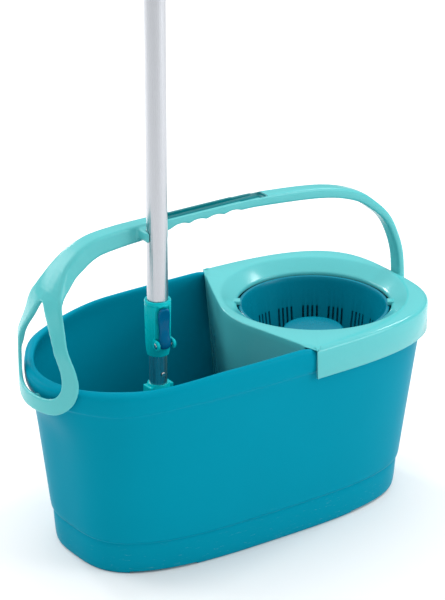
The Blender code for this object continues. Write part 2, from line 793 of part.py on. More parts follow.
def telescope_collar(finish):
    """The twist-lock sleeve on top of the lower tube."""
    top = LOWER_TUBE_TOP
    profile = [
        (OUTER_RADIUS + GAP, top - 0.0450),
        (OUTER_RADIUS + 0.0016, top - 0.0450),
        (OUTER_RADIUS + 0.0032, top - 0.0380),
        (OUTER_RADIUS + 0.0034, top + 0.0100),
        (OUTER_RADIUS + 0.0022, top + 0.0260),
        (UPPER_RADIUS + 0.0018, top + 0.0300),
        (UPPER_RADIUS + GAP, top + 0.0300),
        (UPPER_RADIUS + GAP, top + GAP),
        (OUTER_RADIUS + GAP, top + GAP),
    ]
    return at_pole("telescope_collar", turned("telescope_collar", profile, SMALL_STEPS, closed=True), finish)


def telescope_plug(finish):
    """The slider in the upper tube's lower end, which runs in the lower tube."""
    low, bore = UPPER_TUBE_LOW, UPPER_RADIUS - TUBE_WALL - GAP
    profile = [
        (0.0010, low - 0.0120),
        (0.0092, low - 0.0120),
        (OUTER_RADIUS - TUBE_WALL - GAP, low - 0.0100),
        (OUTER_RADIUS - TUBE_WALL - GAP, low - GAP),
        (bore, low - GAP),
        (bore, low + 0.0250),
        (bore - 0.0008, low + 0.0260),
        (0.0010, low + 0.0260),
    ]
    return at_pole("telescope_plug", turned("telescope_plug", profile), finish)


def upper_grip(finish):
    """The moulded hand grip with shallow rings, pushed over the upper tube."""
    low, high = UPPER_TUBE_HIGH - 0.130, UPPER_TUBE_HIGH + 0.0020
    bore = UPPER_RADIUS + GAP
    profile = [(bore, low), (bore + 0.0016, low), (bore + 0.0030, low + 0.0040)]
    for k in range(4):
        step = low + 0.020 + 0.026 * k
        profile += [(bore + 0.0036, step), (bore + 0.0026, step + 0.0030), (bore + 0.0036, step + 0.0060)]
    profile += [(bore + 0.0034, high - 0.0020), (bore + 0.0026, high), (bore, high)]
    return at_pole("upper_grip", turned("upper_grip", profile, SMALL_STEPS, closed=True), finish)


def hanging_cap(finish):
    """The end cap, with a spigot in the tube and a flat eye to hang the mop by."""
    seat = UPPER_TUBE_HIGH + 0.0020 + GAP
    bore = UPPER_RADIUS - TUBE_WALL - GAP
    profile = [
        (bore - 0.0008, seat - 0.0240),
        (bore, seat - 0.0230),
        (bore, seat),
        (UPPER_RADIUS + 0.0032, seat),
        (UPPER_RADIUS + 0.0034, seat + 0.0040),
        (UPPER_RADIUS + 0.0014, seat + 0.0110),
    ]
    made = at_pole("hanging_cap", turned("hanging_cap", profile), finish)
    eye = rod("cap_eye", 0.0125, -0.0042, 0.0042, ROUND_STEPS, 0.0012)
    eye.transform(Matrix.Diagonal((1.0, 1.35, 1.0, 1.0)))
    turn_mesh(eye, math.pi / 2, "X")
    boolean(made, add_helper("cap_eye", eye, (POLE_X, POLE_Y, seat + 0.0200)), "UNION")
    hole = rod("cap_hole", 0.0068, -0.02, 0.02, SMALL_STEPS)
    hole.transform(Matrix.Diagonal((1.0, 1.35, 1.0, 1.0)))
    turn_mesh(hole, math.pi / 2, "X")
    boolean(made, add_helper("cap_hole", hole, (POLE_X, POLE_Y, seat + 0.0235)), "DIFFERENCE")
    return made


def collar_socket(finish):
    """The socket at the tube's lower end, with a flat and two ears for the lock lever."""
    radius, low, high = COLLAR_RADIUS, COLLAR_LOW, COLLAR_HIGH
    profile = [
        (INNER_RADIUS + 0.0007, low),
        (radius - 0.0030, low),
        (radius - 0.0016, low + 0.0060),
        (radius - 0.0008, low + 0.0200),
        (radius, high - 0.0060),
        (radius, high - 0.0010),
        (radius - 0.0008, high),
        (OUTER_RADIUS + GAP, high),
        (OUTER_RADIUS + GAP, LOWER_TUBE_LOW - GAP),
        (INNER_RADIUS + 0.0007, LOWER_TUBE_LOW - GAP),
    ]
    made = at_pole("collar_socket", turned("collar_socket", profile, closed=True), finish, LEVER_YAW)
    place = (POLE_X, POLE_Y, 0.0)
    for side in (-1, 1):
        ear = rod(f"lever_ear_{side}", 0.0058, 0.0082, 0.0116, SMALL_STEPS)
        turn_mesh(ear, side * math.pi / 2, "Y")
        ear.transform(Matrix.Translation((0.0, -LEVER_PIN_OUT, LEVER_PIN_Z)))
        boolean(made, add_helper(ear.name, ear, place, LEVER_YAW), "UNION")
        web = block(
            f"ear_web_{side}",
            (min(side * 0.0085, side * 0.0112), -LEVER_PIN_OUT, LEVER_PIN_Z - 0.0052),
            (max(side * 0.0085, side * 0.0112), -0.0088, LEVER_PIN_Z + 0.0052),
        )
        boolean(made, add_helper(web.name, web, place, LEVER_YAW), "UNION")
    bore = rod("ear_bore", 0.0023, -0.03, 0.03, SMALL_STEPS, 0.0002)
    turn_mesh(bore, math.pi / 2, "Y")
    bore.transform(Matrix.Translation((0.0, -LEVER_PIN_OUT, LEVER_PIN_Z)))
    boolean(made, add_helper("ear_bore", bore, place, LEVER_YAW), "DIFFERENCE")
    pocket = block(
        "lever_pocket",
        (-0.0080, -0.0300, LEVER_PIN_Z - 0.0068),
        (0.0080, -0.0126, LEVER_TOP_Z + 0.0016),
        0.0010,
    )
    boolean(made, add_helper("lever_pocket", pocket, place, LEVER_YAW), "DIFFERENCE")
    window = block(
        "shoe_window", (-0.0036, -0.0200, LEVER_PIN_Z - 0.0036), (0.0036, -0.0080, LEVER_PIN_Z + 0.0036)
    )
    boolean(made, add_helper("shoe_window", window, place, LEVER_YAW), "DIFFERENCE")
    return made


def lock_lever(finish):
    """The spoon-shaped lock lever: a boss round the pin, a neck, and a dished thumb pad above it."""
    sections = [
        (-0.0046, 0.0046, 0.0150, 0.0205),
        (-0.0030, 0.0068, 0.0138, 0.0222),
        (0.0000, 0.0074, 0.0134, 0.0230),
        (0.0050, 0.0070, 0.0134, 0.0222),
        (0.0120, 0.0060, 0.0136, 0.0200),
        (0.0210, 0.0062, 0.0136, 0.0186),
        (0.0310, 0.0074, 0.0136, 0.0186),
        (0.0380, 0.0072, 0.0136, 0.0196),
        (0.0420, 0.0052, 0.0140, 0.0200),
        (0.0430, 0.0032, 0.0150, 0.0192),
    ]
    rings = []
    for up, half, back, front in sections:
        ring = []
        for k in range(16):
            angle = math.tau * k / 16
            across = half * math.cos(angle)
            deep = between(back, front, 0.5 + 0.5 * math.sin(angle))
            ring.append(Vector((across, -deep, LEVER_PIN_Z + up)))
        rings.append(ring)
    made = at_pole("lock_lever", loft("lock_lever", rings), finish, LEVER_YAW)
    bore = rod("lever_bore", 0.0023, -0.02, 0.02, SMALL_STEPS, 0.0002)
    turn_mesh(bore, math.pi / 2, "Y")
    bore.transform(Matrix.Translation((0.0, -LEVER_PIN_OUT, LEVER_PIN_Z)))
    boolean(made, add_helper("lever_bore", bore, (POLE_X, POLE_Y, 0.0), LEVER_YAW), "DIFFERENCE")
    return made


def lever_pin(finish):
    mesh = rod("lever_pin", 0.0020, -0.0126, 0.0126, SMALL_STEPS, 0.0004)
    turn_mesh(mesh, math.pi / 2, "Y")
    mesh.transform(Matrix.Translation((0.0, -LEVER_PIN_OUT, LEVER_PIN_Z)))
    return at_pole("lever_pin", mesh, finish, LEVER_YAW)


def lock_shoe(finish):
    """The shoe that the lever's cam presses on the inner tube."""
    low = (-0.0033, -0.0125, LEVER_PIN_Z - 0.0033)
    high = (0.0033, -(INNER_RADIUS + GAP), LEVER_PIN_Z + 0.0033)
    return at_pole("lock_shoe", block("lock_shoe", low, high), finish, LEVER_YAW)


# ---------------------------------------------------------------- mop: spiral drive

def guide_bush(finish):
    """The bush on top of the inner tube, which slides in the outer tube while the inner one turns in it."""
    top = INNER_TUBE_HIGH
    slide = OUTER_RADIUS - TUBE_WALL - GAP
    profile = [
        (0.0070, top + 0.0004),
        (slide, top + 0.0004),
        (slide, top + 0.0160),
        (0.0070, top + 0.0160),
    ]
    return at_pole("guide_bush", turned("guide_bush", profile, closed=True), finish)


def inner_tube(finish):
    mesh = pipe("inner_tube", INNER_RADIUS, INNER_RADIUS - TUBE_WALL, INNER_TUBE_LOW, INNER_TUBE_HIGH)
    made = at_pole("inner_tube", mesh, finish)
    boolean(made, button_hole("tube_button_hole"), "DIFFERENCE")
    return made


def clutch_ring(finish):
    """The one-way clutch's outer ring, fixed in the inner tube's top."""
    outer = INNER_RADIUS - TUBE_WALL - GAP
    mesh = pipe("clutch_ring", outer, 0.0072, INNER_TUBE_HIGH - 0.0300, INNER_TUBE_HIGH - 0.0160, SMALL_STEPS)
    return at_pole("clutch_ring", mesh, finish)


def drive_nut(finish):
    """The nut that the spiral rod turns, held inside the clutch ring."""
    mesh = pipe(
        "drive_nut", 0.0069, 0.0044, INNER_TUBE_HIGH - 0.0290, INNER_TUBE_HIGH - 0.0140, SMALL_STEPS
    )
    return at_pole("drive_nut", mesh, finish)


def clutch_spring(finish):
    """The spring over the nut, drawn as its coil."""
    turns, steps = 4, 8
    guide = bpy.data.curves.new("clutch_spring", "CURVE")
    guide.dimensions = "3D"
    guide.bevel_depth = 0.0004
    guide.bevel_resolution = 0
    guide.use_fill_caps = True
    line = guide.splines.new("POLY")
    line.points.add(turns * steps)
    low, rise = INNER_TUBE_HIGH - 0.0132, 0.0104
    for k, point in enumerate(line.points):
        angle = math.tau * k / steps
        point.co = (0.0058 * math.cos(angle), 0.0058 * math.sin(angle), low + rise * k / (turns * steps), 1.0)
    guide.materials.append(finish)
    made = bpy.data.objects.new("clutch_spring", guide)
    bpy.context.scene.collection.objects.link(made)
    made.location = (POLE_X, POLE_Y, 0.0)
    return made


def spiral_rod(finish):
    """The flat bar twisted to the drive's lead."""
    low, high, steps = 0.2360, 0.4720, 44
    rings = []
    for k in range(steps + 1):
        z = between(low, high, k / steps)
        angle = math.tau * (z - INNER_TUBE_HIGH) / SPIRAL_LEAD
        turn = Matrix.Rotation(angle, 3, "Z")
        corners = [(-0.0034, -0.0013), (0.0034, -0.0013), (0.0034, 0.0013), (-0.0034, 0.0013)]
        rings.append([turn @ Vector((x, y, 0.0)) + Vector((0.0, 0.0, z)) for x, y in corners])
    return at_pole("spiral_rod", loft("spiral_rod", rings), finish)


def rod_anchor(finish):
    """The plug that holds the spiral rod in the outer tube."""
    mesh = rod("rod_anchor", OUTER_RADIUS - TUBE_WALL - GAP, 0.4723, 0.4900, ROUND_STEPS)
    return at_pole("rod_anchor", mesh, finish)


# ---------------------------------------------------------------- mop: head

def head_socket(finish):
    """The head's neck: a spigot up the inner tube, and two cheeks that hold the head's pin."""
    low, tube_end = HEAD_PIN_Z + 0.0100, INNER_TUBE_LOW
    bore = INNER_RADIUS - TUBE_WALL - GAP
    profile = [
        (0.0100, low),
        (0.0136, low + 0.0016),
        (0.0136, tube_end - 0.0040),
        (0.0122, tube_end - GAP),
        (bore, tube_end - GAP),
        (bore, BUTTON_Z + 0.0100),
        (bore - 0.0010, BUTTON_Z + 0.0110),
        (0.0040, BUTTON_Z + 0.0110),
        (0.0040, low),
    ]
    made = at_pole("head_socket", turned("head_socket", profile, closed=True), finish)
    for side in (-1, 1):
        near, far = sorted((side * 0.0108, side * 0.0158))
        cheek = block(
            f"cheek_{side}",
            (near, -0.0080, HEAD_PIN_Z - 0.0080),
            (far, 0.0080, tube_end - 0.0020),
            0.0012,
        )
        boolean(made, add_helper(cheek.name, cheek, (POLE_X, POLE_Y, 0.0)), "UNION")
    bore = rod("cheek_bore", 0.0028, -0.03, 0.03, SMALL_STEPS, 0.0002)
    turn_mesh(bore, math.pi / 2, "Y")
    boolean(made, add_helper("cheek_bore", bore, (POLE_X, POLE_Y, HEAD_PIN_Z)), "DIFFERENCE")
    boolean(made, button_hole("socket_button_hole"), "DIFFERENCE")
    return made


def button_hole(name):
    hole = rod(name, 0.0031, 0.0020, 0.0200, SMALL_STEPS, 0.0002)
    turn_mesh(hole, math.pi / 2, "X")
    return add_helper(name, hole, (POLE_X, POLE_Y, BUTTON_Z))


def snap_button(finish):
    """The sprung button that keeps the head's spigot in the inner tube."""
    mesh = rod("snap_button", 0.0027, 0.0060, 0.0116, SMALL_STEPS, 0.0006)
    turn_mesh(mesh, math.pi / 2, "X")
    made = at_pole("snap_button", mesh, finish)
    made.location.z = BUTTON_Z
    return made


def head_pin(finish):
    mesh = rod("head_pin", 0.0025, -0.0168, 0.0168, SMALL_STEPS, 0.0004)
    turn_mesh(mesh, math.pi / 2, "Y")
    made = at_pole("head_pin", mesh, finish)
    made.location.z = HEAD_PIN_Z
    return made


def mop_plate(finish):
    """The head's disc, with a coned hub that carries the pin's tongue."""
    top = PLATE_Z
    profile = [
        (0.0010, top + 0.0180),
        (0.0095, top + 0.0180),
        (0.0140, top + 0.0150),
        (0.0220, top + 0.0060),
        (0.0340, top),
        (PLATE_RADIUS - 0.0015, top - 0.0010),
        (PLATE_RADIUS, top - 0.0025),
        (PLATE_RADIUS, top - 0.0060),
        (PLATE_RADIUS - 0.0030, top - 0.0060),
        (PLATE_RADIUS - 0.0030, top - 0.0038),
        (0.0200, top - 0.0030),
        (0.0180, top - 0.0060),
        (0.0010, top - 0.0060),
    ]
    made = at_pole("mop_plate", turned("mop_plate", profile), finish)
    tongue = block(
        "plate_tongue", (-0.0102, -0.0070, top + 0.0120), (0.0102, 0.0070, HEAD_PIN_Z + 0.0070), 0.0014
    )
    boolean(made, add_helper("plate_tongue", tongue, (POLE_X, POLE_Y, 0.0)), "UNION")
    bore = rod("tongue_bore", 0.0028, -0.02, 0.02, SMALL_STEPS, 0.0002)
    turn_mesh(bore, math.pi / 2, "Y")
    boolean(made, add_helper("tongue_bore", bore, (POLE_X, POLE_Y, HEAD_PIN_Z)), "DIFFERENCE")
    return made


def strand_ring(finish):
    """The ring that the strands are moulded into, snapped on under the plate."""
    top = PLATE_Z - 0.0060 - GAP
    profile = [(0.0500, top), (0.0500, top - 0.0050), (PLATE_RADIUS, top - 0.0050), (PLATE_RADIUS, top)]
    mesh = turned("strand_ring", profile, closed=True)
    return at_pole("strand_ring", mesh, finish)


def mop_strands(finish):
    """The hanging bundle of microfibre strands, as one soft solid."""
    top = PLATE_Z - 0.0060 - 0.0050 - 2 * GAP
    profile = [
        (0.0300, top - 0.0040),
        (0.0460, top),
        (0.0690, top),
        (0.0715, top - 0.0120),
        (0.0685, top - 0.0500),
        (0.0570, STRAND_LOW + 0.0120),
        (0.0440, STRAND_LOW),
        (0.0010, STRAND_LOW + 0.0020),
        (0.0010, top - 0.0300),
    ]
    return at_pole("mop_strands", turned("mop_strands", profile), finish)


# ---------------------------------------------------------------- the set

def clear_scene():
    for old in list(bpy.data.objects):
        bpy.data.objects.remove(old, do_unlink=True)


def main():
    clear_scene()
    petrol, turquoise, teal = petrol_plastic(), turquoise_plastic(), teal_plastic()
    dark, blue, white = dark_petrol_plastic(), blue_plastic(), white_plastic()
    grey, alloy, bright, fibre = grey_plastic(), aluminium(), steel(), microfibre()
    bucket(petrol)
    spin_insert(turquoise)
    spin_basket(dark)
    pivot_post(petrol)
    basket_spindle(bright)
    basket_bush(white)
    thrust_washer(white)
    carry_handle(turquoise)
    lower_tube(alloy)
    upper_tube(alloy)
    telescope_collar(teal)
    telescope_plug(grey)
    upper_grip(teal)
    hanging_cap(teal)
    collar_socket(teal)
    lock_lever(blue)
    lever_pin(bright)
    lock_shoe(grey)
    guide_bush(white)
    inner_tube(alloy)
    clutch_ring(bright)
    drive_nut(white)
    clutch_spring(bright)
    spiral_rod(bright)
    rod_anchor(grey)
    head_socket(grey)
    snap_button(bright)
    head_pin(bright)
    mop_plate(grey)
    strand_ring(grey)
    mop_strands(fibre)


main()
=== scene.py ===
"""The looks of the spin mop set: smooth moulded shells, real strands and procedural materials.

Metres, +Z up, in the part's frame: the pouring lip and the mop at -X, the spin basket at +X, and the
front at -Y.
"""
import json
import math
import random

import bmesh
import bpy
from mathutils import Matrix, Vector


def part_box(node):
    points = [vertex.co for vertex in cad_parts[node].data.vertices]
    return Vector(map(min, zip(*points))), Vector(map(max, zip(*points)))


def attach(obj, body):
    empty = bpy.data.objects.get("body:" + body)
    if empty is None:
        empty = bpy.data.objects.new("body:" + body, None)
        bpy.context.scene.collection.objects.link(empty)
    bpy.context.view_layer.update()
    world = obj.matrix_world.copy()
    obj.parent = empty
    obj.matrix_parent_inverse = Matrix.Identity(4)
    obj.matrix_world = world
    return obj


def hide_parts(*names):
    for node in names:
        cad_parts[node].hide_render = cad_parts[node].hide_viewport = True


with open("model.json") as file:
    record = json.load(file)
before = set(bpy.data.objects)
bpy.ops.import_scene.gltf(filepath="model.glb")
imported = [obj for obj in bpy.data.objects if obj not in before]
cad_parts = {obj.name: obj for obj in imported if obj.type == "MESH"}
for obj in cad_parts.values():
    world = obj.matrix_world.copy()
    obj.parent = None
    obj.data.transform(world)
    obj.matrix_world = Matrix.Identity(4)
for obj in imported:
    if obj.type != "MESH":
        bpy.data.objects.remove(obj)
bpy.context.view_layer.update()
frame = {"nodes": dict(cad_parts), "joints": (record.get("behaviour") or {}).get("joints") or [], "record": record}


# ------------ places, read from the frame

def middle_of(node):
    low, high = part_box(node)
    return (low + high) / 2


def joint_named(name):
    return next(joint for joint in frame["joints"] if joint["name"] == name)


BUCKET_LOW, BUCKET_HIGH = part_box("bucket")
BASKET_LOW, BASKET_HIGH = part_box("spin_basket")
COLLAR_LOW, COLLAR_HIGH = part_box("collar_socket")
TUBE_LOW, TUBE_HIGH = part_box("lower_tube")
STRANDS_LOW, STRANDS_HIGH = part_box("mop_strands")
POLE = middle_of("lower_tube")
LEVER_PIN = Vector(joint_named("lever_flip")["pos_m"])

# Bucket
LIP_LENGTH, LIP_WIDTH, TOP_POWER = 0.480, BUCKET_HIGH.y - BUCKET_LOW.y, 3.4
BASE_LENGTH, BASE_WIDTH, BASE_POWER = 0.434, 0.207, 3.1
SHOULDER_LENGTH, SHOULDER_WIDTH, SHOULDER_Z = 0.473, 0.258, 0.214
BUCKET_X = BUCKET_HIGH.x - LIP_LENGTH / 2
RIM_Z = BUCKET_HIGH.z
RIM_STEP, RIM_STEP_BEFORE, RIM_STEP_RUN = 0.0046, 0.0105, 0.0080
WALL = 0.0026
FLOOR_Z = 0.0080
FOOT_HEIGHT = 0.0030
ARCH_NEAR, ARCH_FAR = 0.110, 0.187
BAND_Z = 0.038
SPOUT_REACH, SPOUT_HALF_WIDTH = 0.019, 0.086
SPOUT_FOOT_Z, SPOUT_HEAD_Z = 0.150, 0.222
BUCKET_STEPS = 150

# Spin insert and basket
BASKET_X = middle_of("spin_basket").x
INSERT_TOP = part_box("spin_insert")[1].z
INSERT_SHEET = 0.0024
SKIRT_GAP = 0.0034
SKIRT_BOTTOM = 0.2110
SKIRT_NEAR_X, SKIRT_FAR_X = 0.0350, 0.0660
OPENING_RADIUS, FUNNEL_RADIUS = 0.0915, 0.1085
OPENING_Z, OPENING_BOTTOM = 0.2357, 0.2310
PARTITION_BOTTOM, PARTITION_DRAFT = 0.110, 0.92
TAB_ANGLE = math.radians(-35)
BASKET_RADIUS = (BASKET_HIGH.x - BASKET_LOW.x) / 2
BASKET_TOP = BASKET_HIGH.z
BASKET_FLOOR = BASKET_LOW.z + 0.0022
HUB_RADIUS, HUB_TOP = 0.0360, 0.2020
SLOT_GROUPS, SLOTS_IN_GROUP = 16, 4
SLOT_WIDTH, SLOT_PITCH = 0.0024, 0.0056
SLOT_LOW, SLOT_HIGH = 0.158, 0.1965
SLOT_RADIUS, SLOT_DEPTH = 0.0790, 0.020
SPINDLE_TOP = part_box("basket_spindle")[1].z

# Carry handle
HANDLE_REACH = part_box("carry_handle")[1].x
PIVOT_Z = joint_named("handle_swing")["pos_m"][2]
PEG_RADIUS, PEG_WALL_X = 0.0062, 0.2470
PEG_NOTCH_REACH, PEG_HEAD_INSIDE = 0.0085, 0.0075
WALL_AT_PEGS, SPOUT_AT_PEGS = 0.2365, 0.0180
LOOP_SHEET, LOOP_FLANGE = 0.0050, 0.0080
LOOP_CURVE = 0.088
FINGER_PITCH, FINGER_DEPTH, FINGERS = 0.024, 0.0032, 4
FINGER_START = -0.0770
GRIP_LOW = Vector((POLE.x + 0.017, -0.0080, PIVOT_Z + 0.1722))
GRIP_HIGH = Vector((FINGER_START + 5 * FINGER_PITCH + 0.012, 0.0080, PIVOT_Z + 0.190))
GRIP_TOP_Z = PIVOT_Z + 0.1788
# Painted shade: the colour that stands in for the shade inside the grip channel on the bow.
GRIP_SHADE = (0.0, 0.215, 0.245)
FINGER_ROOT_Z = PIVOT_Z + 0.1664
CLIP_LOW_Z, CLIP_HIGH_Z = PIVOT_Z + 0.1650, PIVOT_Z + 0.1775
CLIP_CUT_LOW_Z, CLIP_CUT_HIGH_Z = PIVOT_Z + 0.150, PIVOT_Z + 0.190
HANDLE_VOXEL, HANDLE_ROUNDS = 0.0011, 11

# Mop
POLE_FOOT = Vector((POLE.x, POLE.y, 0.0))
OUTER_RADIUS, INNER_RADIUS = (TUBE_HIGH.x - TUBE_LOW.x) / 2, 0.0103
CLIP_RADIUS = OUTER_RADIUS + 0.0004
COLLAR_RADIUS, COLLAR_BORE = 0.0152, INNER_RADIUS + 0.0007
LEVER_YAW = math.radians(-8)
LEVER_PIN_OUT, PIN_BORE = 0.0185, 0.0023
LEVER_TOP_Z = LEVER_PIN.z + 0.0430
STRAND_ROWS = [(0.0490, 36), (0.0570, 42), (0.0650, 48)]
STRAND_RADIUS, STRAND_TWISTS, STRAND_LIMIT = 0.0030, 9, 0.0675
STRAND_TOP_Z = STRANDS_HIGH.z - 0.0020

# Camera and stage
CAMERA_AZIMUTH, CAMERA_ELEVATION = math.radians(-35.14), math.radians(24.80)
CAMERA_ROLL = math.radians(0.12)
CAMERA_DISTANCE, CAMERA_LENS = 3.315, 170.0
CAMERA_SHIFT_X, CAMERA_SHIFT_Y = -0.0107, 0.1408
CAMERA_TARGET = Vector((0.008, 0.0, 0.160))
WORLD_AT_HORIZON, WORLD_OVERHEAD = 0.06, 1.34
FLOOR_HALF = 40.0


# ------------ materials

def new_material(name):
    """A new material, with its tree, its shader and the place on the object as coordinates."""
    made = bpy.data.materials.new(name)
    made.use_nodes = True
    tree = made.node_tree
    place = tree.nodes.new("ShaderNodeTexCoord").outputs["Object"]
    return made, tree, tree.nodes["Principled BSDF"], place


def texture_noise(tree, coordinates, scale, detail=3.0, rough=0.5):
    made = tree.nodes.new("ShaderNodeTexNoise")
    made.inputs["Scale"].default_value = scale
    made.inputs["Detail"].default_value = detail
    made.inputs["Roughness"].default_value = rough
    tree.links.new(coordinates, made.inputs["Vector"])
    return made.outputs["Fac"]


def map_range(tree, value, low, high, to_low, to_high):
    made = tree.nodes.new("ShaderNodeMapRange")
    for socket, number in zip(made.inputs[1:5], (low, high, to_low, to_high)):
        socket.default_value = number
    tree.links.new(value, made.inputs["Value"])
    return made.outputs["Result"]


def multiply(tree, first, second):
    made = tree.nodes.new("ShaderNodeMath")
    made.operation = "MULTIPLY"
    tree.links.new(first, made.inputs[0])
    tree.links.new(second, made.inputs[1])
    return made.outputs[0]


def mix_colours(tree, share, first, second):
    """first and second are colours or outputs; share goes from the first to the second."""
    made = tree.nodes.new("ShaderNodeMix")
    made.data_type = "RGBA"
    tree.links.new(share, made.inputs[0])
    for socket, colour in zip((made.inputs[6], made.inputs[7]), (first, second)):
        if isinstance(colour, tuple):
            socket.default_value = (*colour, 1.0)
        else:
            tree.links.new(colour, socket)
    return made.outputs[2]


def scaled(tree, coordinates, size):
    made = tree.nodes.new("ShaderNodeMapping")
    made.inputs["Scale"].default_value = size
    tree.links.new(coordinates, made.inputs["Vector"])
    return made.outputs["Vector"]


def bump(tree, shader, height, strength, distance):
    made = tree.nodes.new("ShaderNodeBump")
    made.inputs["Strength"].default_value = strength
    made.inputs["Distance"].default_value = distance
    tree.links.new(height, made.inputs["Height"])
    tree.links.new(made.outputs["Normal"], shader.inputs["Normal"])


def tinted(colour, share):
    return tuple(min(1.0, channel * share) for channel in colour)


def set_finish(tree, shader, colour, pattern, low, high):
    """The colour, and a roughness from low to high that follows the pattern."""
    tree.links.new(colour, shader.inputs["Base Color"])
    tree.links.new(map_range(tree, pattern, 0.3, 0.7, low, high), shader.inputs["Roughness"])


def moulded(name, colour, roughness, shine, grain, tint, scuffed=False):
    """Moulded plastic: slow colour drift, uneven gloss and fine tool grain, with scuffs low down."""
    made, tree, shader, place = new_material(name)
    drift = texture_noise(tree, place, 11.0, 2.0)
    base = mix_colours(tree, drift, tinted(colour, 1 - tint), tinted(colour, 1 + tint))
    speckle = map_range(tree, texture_noise(tree, place, 900.0, 2.0), 0.45, 0.75, 0.0, 0.10)
    base = mix_colours(tree, speckle, base, tinted(colour, 0.72))
    if scuffed:
        height = tree.nodes.new("ShaderNodeSeparateXYZ")
        tree.links.new(place, height.inputs[0])
        low = map_range(tree, height.outputs["Z"], 0.004, 0.055, 1.0, 0.0)
        marks = scaled(tree, place, (30.0, 30.0, 160.0))
        scratch = map_range(tree, texture_noise(tree, marks, 3.0, 8.0, 0.7), 0.60, 0.72, 0.0, 0.35)
        base = mix_colours(tree, multiply(tree, low, scratch), base, (0.35, 0.55, 0.60))
    patches = texture_noise(tree, place, 38.0, 4.0)
    set_finish(tree, shader, base, patches, roughness - 0.02, roughness + 0.04)
    shader.inputs["Specular IOR Level"].default_value = shine
    bump(tree, shader, texture_noise(tree, place, 1500.0, 2.0), grain, 0.00012)
    return made


def shaded_recess(made, low, high, colour):
    """Painted shade: a darker colour inside the box low to high, standing in for the shade deep in a narrow
    recess.
    """
    tree = made.node_tree
    shader = tree.nodes["Principled BSDF"]
    place = tree.nodes.new("ShaderNodeTexCoord").outputs["Object"]
    middle = tuple((a + b) / 2 for a, b in zip(low, high))
    half = tuple((b - a) / 2 for a, b in zip(low, high))
    moved = tree.nodes.new("ShaderNodeVectorMath")
    moved.operation = "SUBTRACT"
    moved.inputs[1].default_value = middle
    tree.links.new(place, moved.inputs[0])
    away = tree.nodes.new("ShaderNodeVectorMath")
    away.operation = "ABSOLUTE"
    tree.links.new(moved.outputs["Vector"], away.inputs[0])
    sides = tree.nodes.new("ShaderNodeSeparateXYZ")
    tree.links.new(away.outputs["Vector"], sides.inputs[0])
    inside = [
        map_range(tree, sides.outputs[axis], size - 0.0003, size + 0.0003, 1.0, 0.0)
        for axis, size in zip("XYZ", half)
    ]
    share = multiply(tree, multiply(tree, inside[0], inside[1]), inside[2])
    before = shader.inputs["Base Color"].links[0].from_socket
    tree.links.new(mix_colours(tree, share, before, colour), shader.inputs["Base Color"])
    return made


def drawn_tube(name, colour, roughness):
    """Anodised drawn tube: fine lines along it, which change its colour and its gloss."""
    made, tree, shader, place = new_material(name)
    lines = texture_noise(tree, scaled(tree, place, (2600.0, 2600.0, 14.0)), 1.0, 3.0, 0.6)
    share = map_range(tree, lines, 0.3, 0.7, 0.0, 1.0)
    base = mix_colours(tree, share, tinted(colour, 0.93), tinted(colour, 1.04))
    set_finish(tree, shader, base, lines, roughness - 0.05, roughness + 0.07)
    shader.inputs["Metallic"].default_value = 1.0
    bump(tree, shader, lines, 0.12, 0.00005)
    return made


def bright_steel(name, colour, roughness):
    """Bright steel with small patches that differ in colour and gloss."""
    made, tree, shader, place = new_material(name)
    patches = texture_noise(tree, place, 260.0, 5.0, 0.6)
    base = mix_colours(tree, patches, tinted(colour, 0.90), tinted(colour, 1.06))
    set_finish(tree, shader, base, patches, roughness - 0.06, roughness + 0.08)
    shader.inputs["Metallic"].default_value = 1.0
    bump(tree, shader, texture_noise(tree, place, 1800.0, 2.0), 0.10, 0.00005)
    return made


def microfibre(name, colour):
    """Looped microfibre yarn: a nubby pile, with painted shade darkening its hollows, and a soft sheen."""
    made, tree, shader, place = new_material(name)
    pile = tree.nodes.new("ShaderNodeTexVoronoi")
    pile.inputs["Scale"].default_value = 850.0
    tree.links.new(place, pile.inputs["Vector"])
    # Painted shade: the pile's hollows are coloured darker.
    hollow = map_range(tree, pile.outputs["Distance"], 0.0, 0.9, 0.0, 0.6)
    drift = texture_noise(tree, place, 45.0, 3.0)
    base = mix_colours(tree, drift, tinted(colour, 0.90), tinted(colour, 1.05))
    tree.links.new(mix_colours(tree, hollow, base, tinted(colour, 0.70)), shader.inputs["Base Color"])
    shader.inputs["Roughness"].default_value = 0.92
    shader.inputs["Sheen Weight"].default_value = 0.4
    shader.inputs["Sheen Roughness"].default_value = 0.5
    bump(tree, shader, pile.outputs["Distance"], 0.8, 0.0008)
    return made


TURQUOISE = (0.097, 0.530, 0.552)
# Moulded finishes: colour, roughness, shine, grain and tint. Only the bucket is scuffed.
MOULDED = {
    "petrol_plastic": ((0.0, 0.275, 0.398), 0.30, 0.015, 0.12, 0.03, True),
    "turquoise_plastic": (TURQUOISE, 0.16, 0.36, 0.03, 0.02),
    "teal_plastic": ((0.0, 0.500, 0.550), 0.26, 0.10, 0.08, 0.03),
    "dark_petrol_plastic": ((0.0, 0.215, 0.310), 0.26, 0.12, 0.05, 0.03),
    "blue_plastic": ((0.0, 0.120, 0.260), 0.16, 0.08, 0.08, 0.05),
    "white_plastic": ((0.74, 0.75, 0.74), 0.42, 0.5, 0.20, 0.03),
    "grey_plastic": ((0.16, 0.17, 0.18), 0.45, 0.4, 0.35, 0.08),
}
MATERIALS = {name: moulded(name, *row) for name, row in MOULDED.items()}
MATERIALS["aluminium"] = drawn_tube("aluminium", (0.52, 0.54, 0.575), 0.26)
MATERIALS["steel"] = bright_steel("steel", (0.62, 0.63, 0.64), 0.24)
MATERIALS["microfibre"] = microfibre("microfibre", (0.78, 0.82, 0.82))


def paint_cad_nodes():
    """Each CAD node gets the finish that its slot in the record names."""
    for row in frame["record"]["subparts"]:
        slots = frame["nodes"][row["node"]].data.materials
        slots.clear()
        slots.append(MATERIALS[row["material_slot"]])


# ------------ shape tools

def smooth_step(value):
    value = min(max(value, 0.0), 1.0)
    return value * value * (3.0 - 2.0 * value)


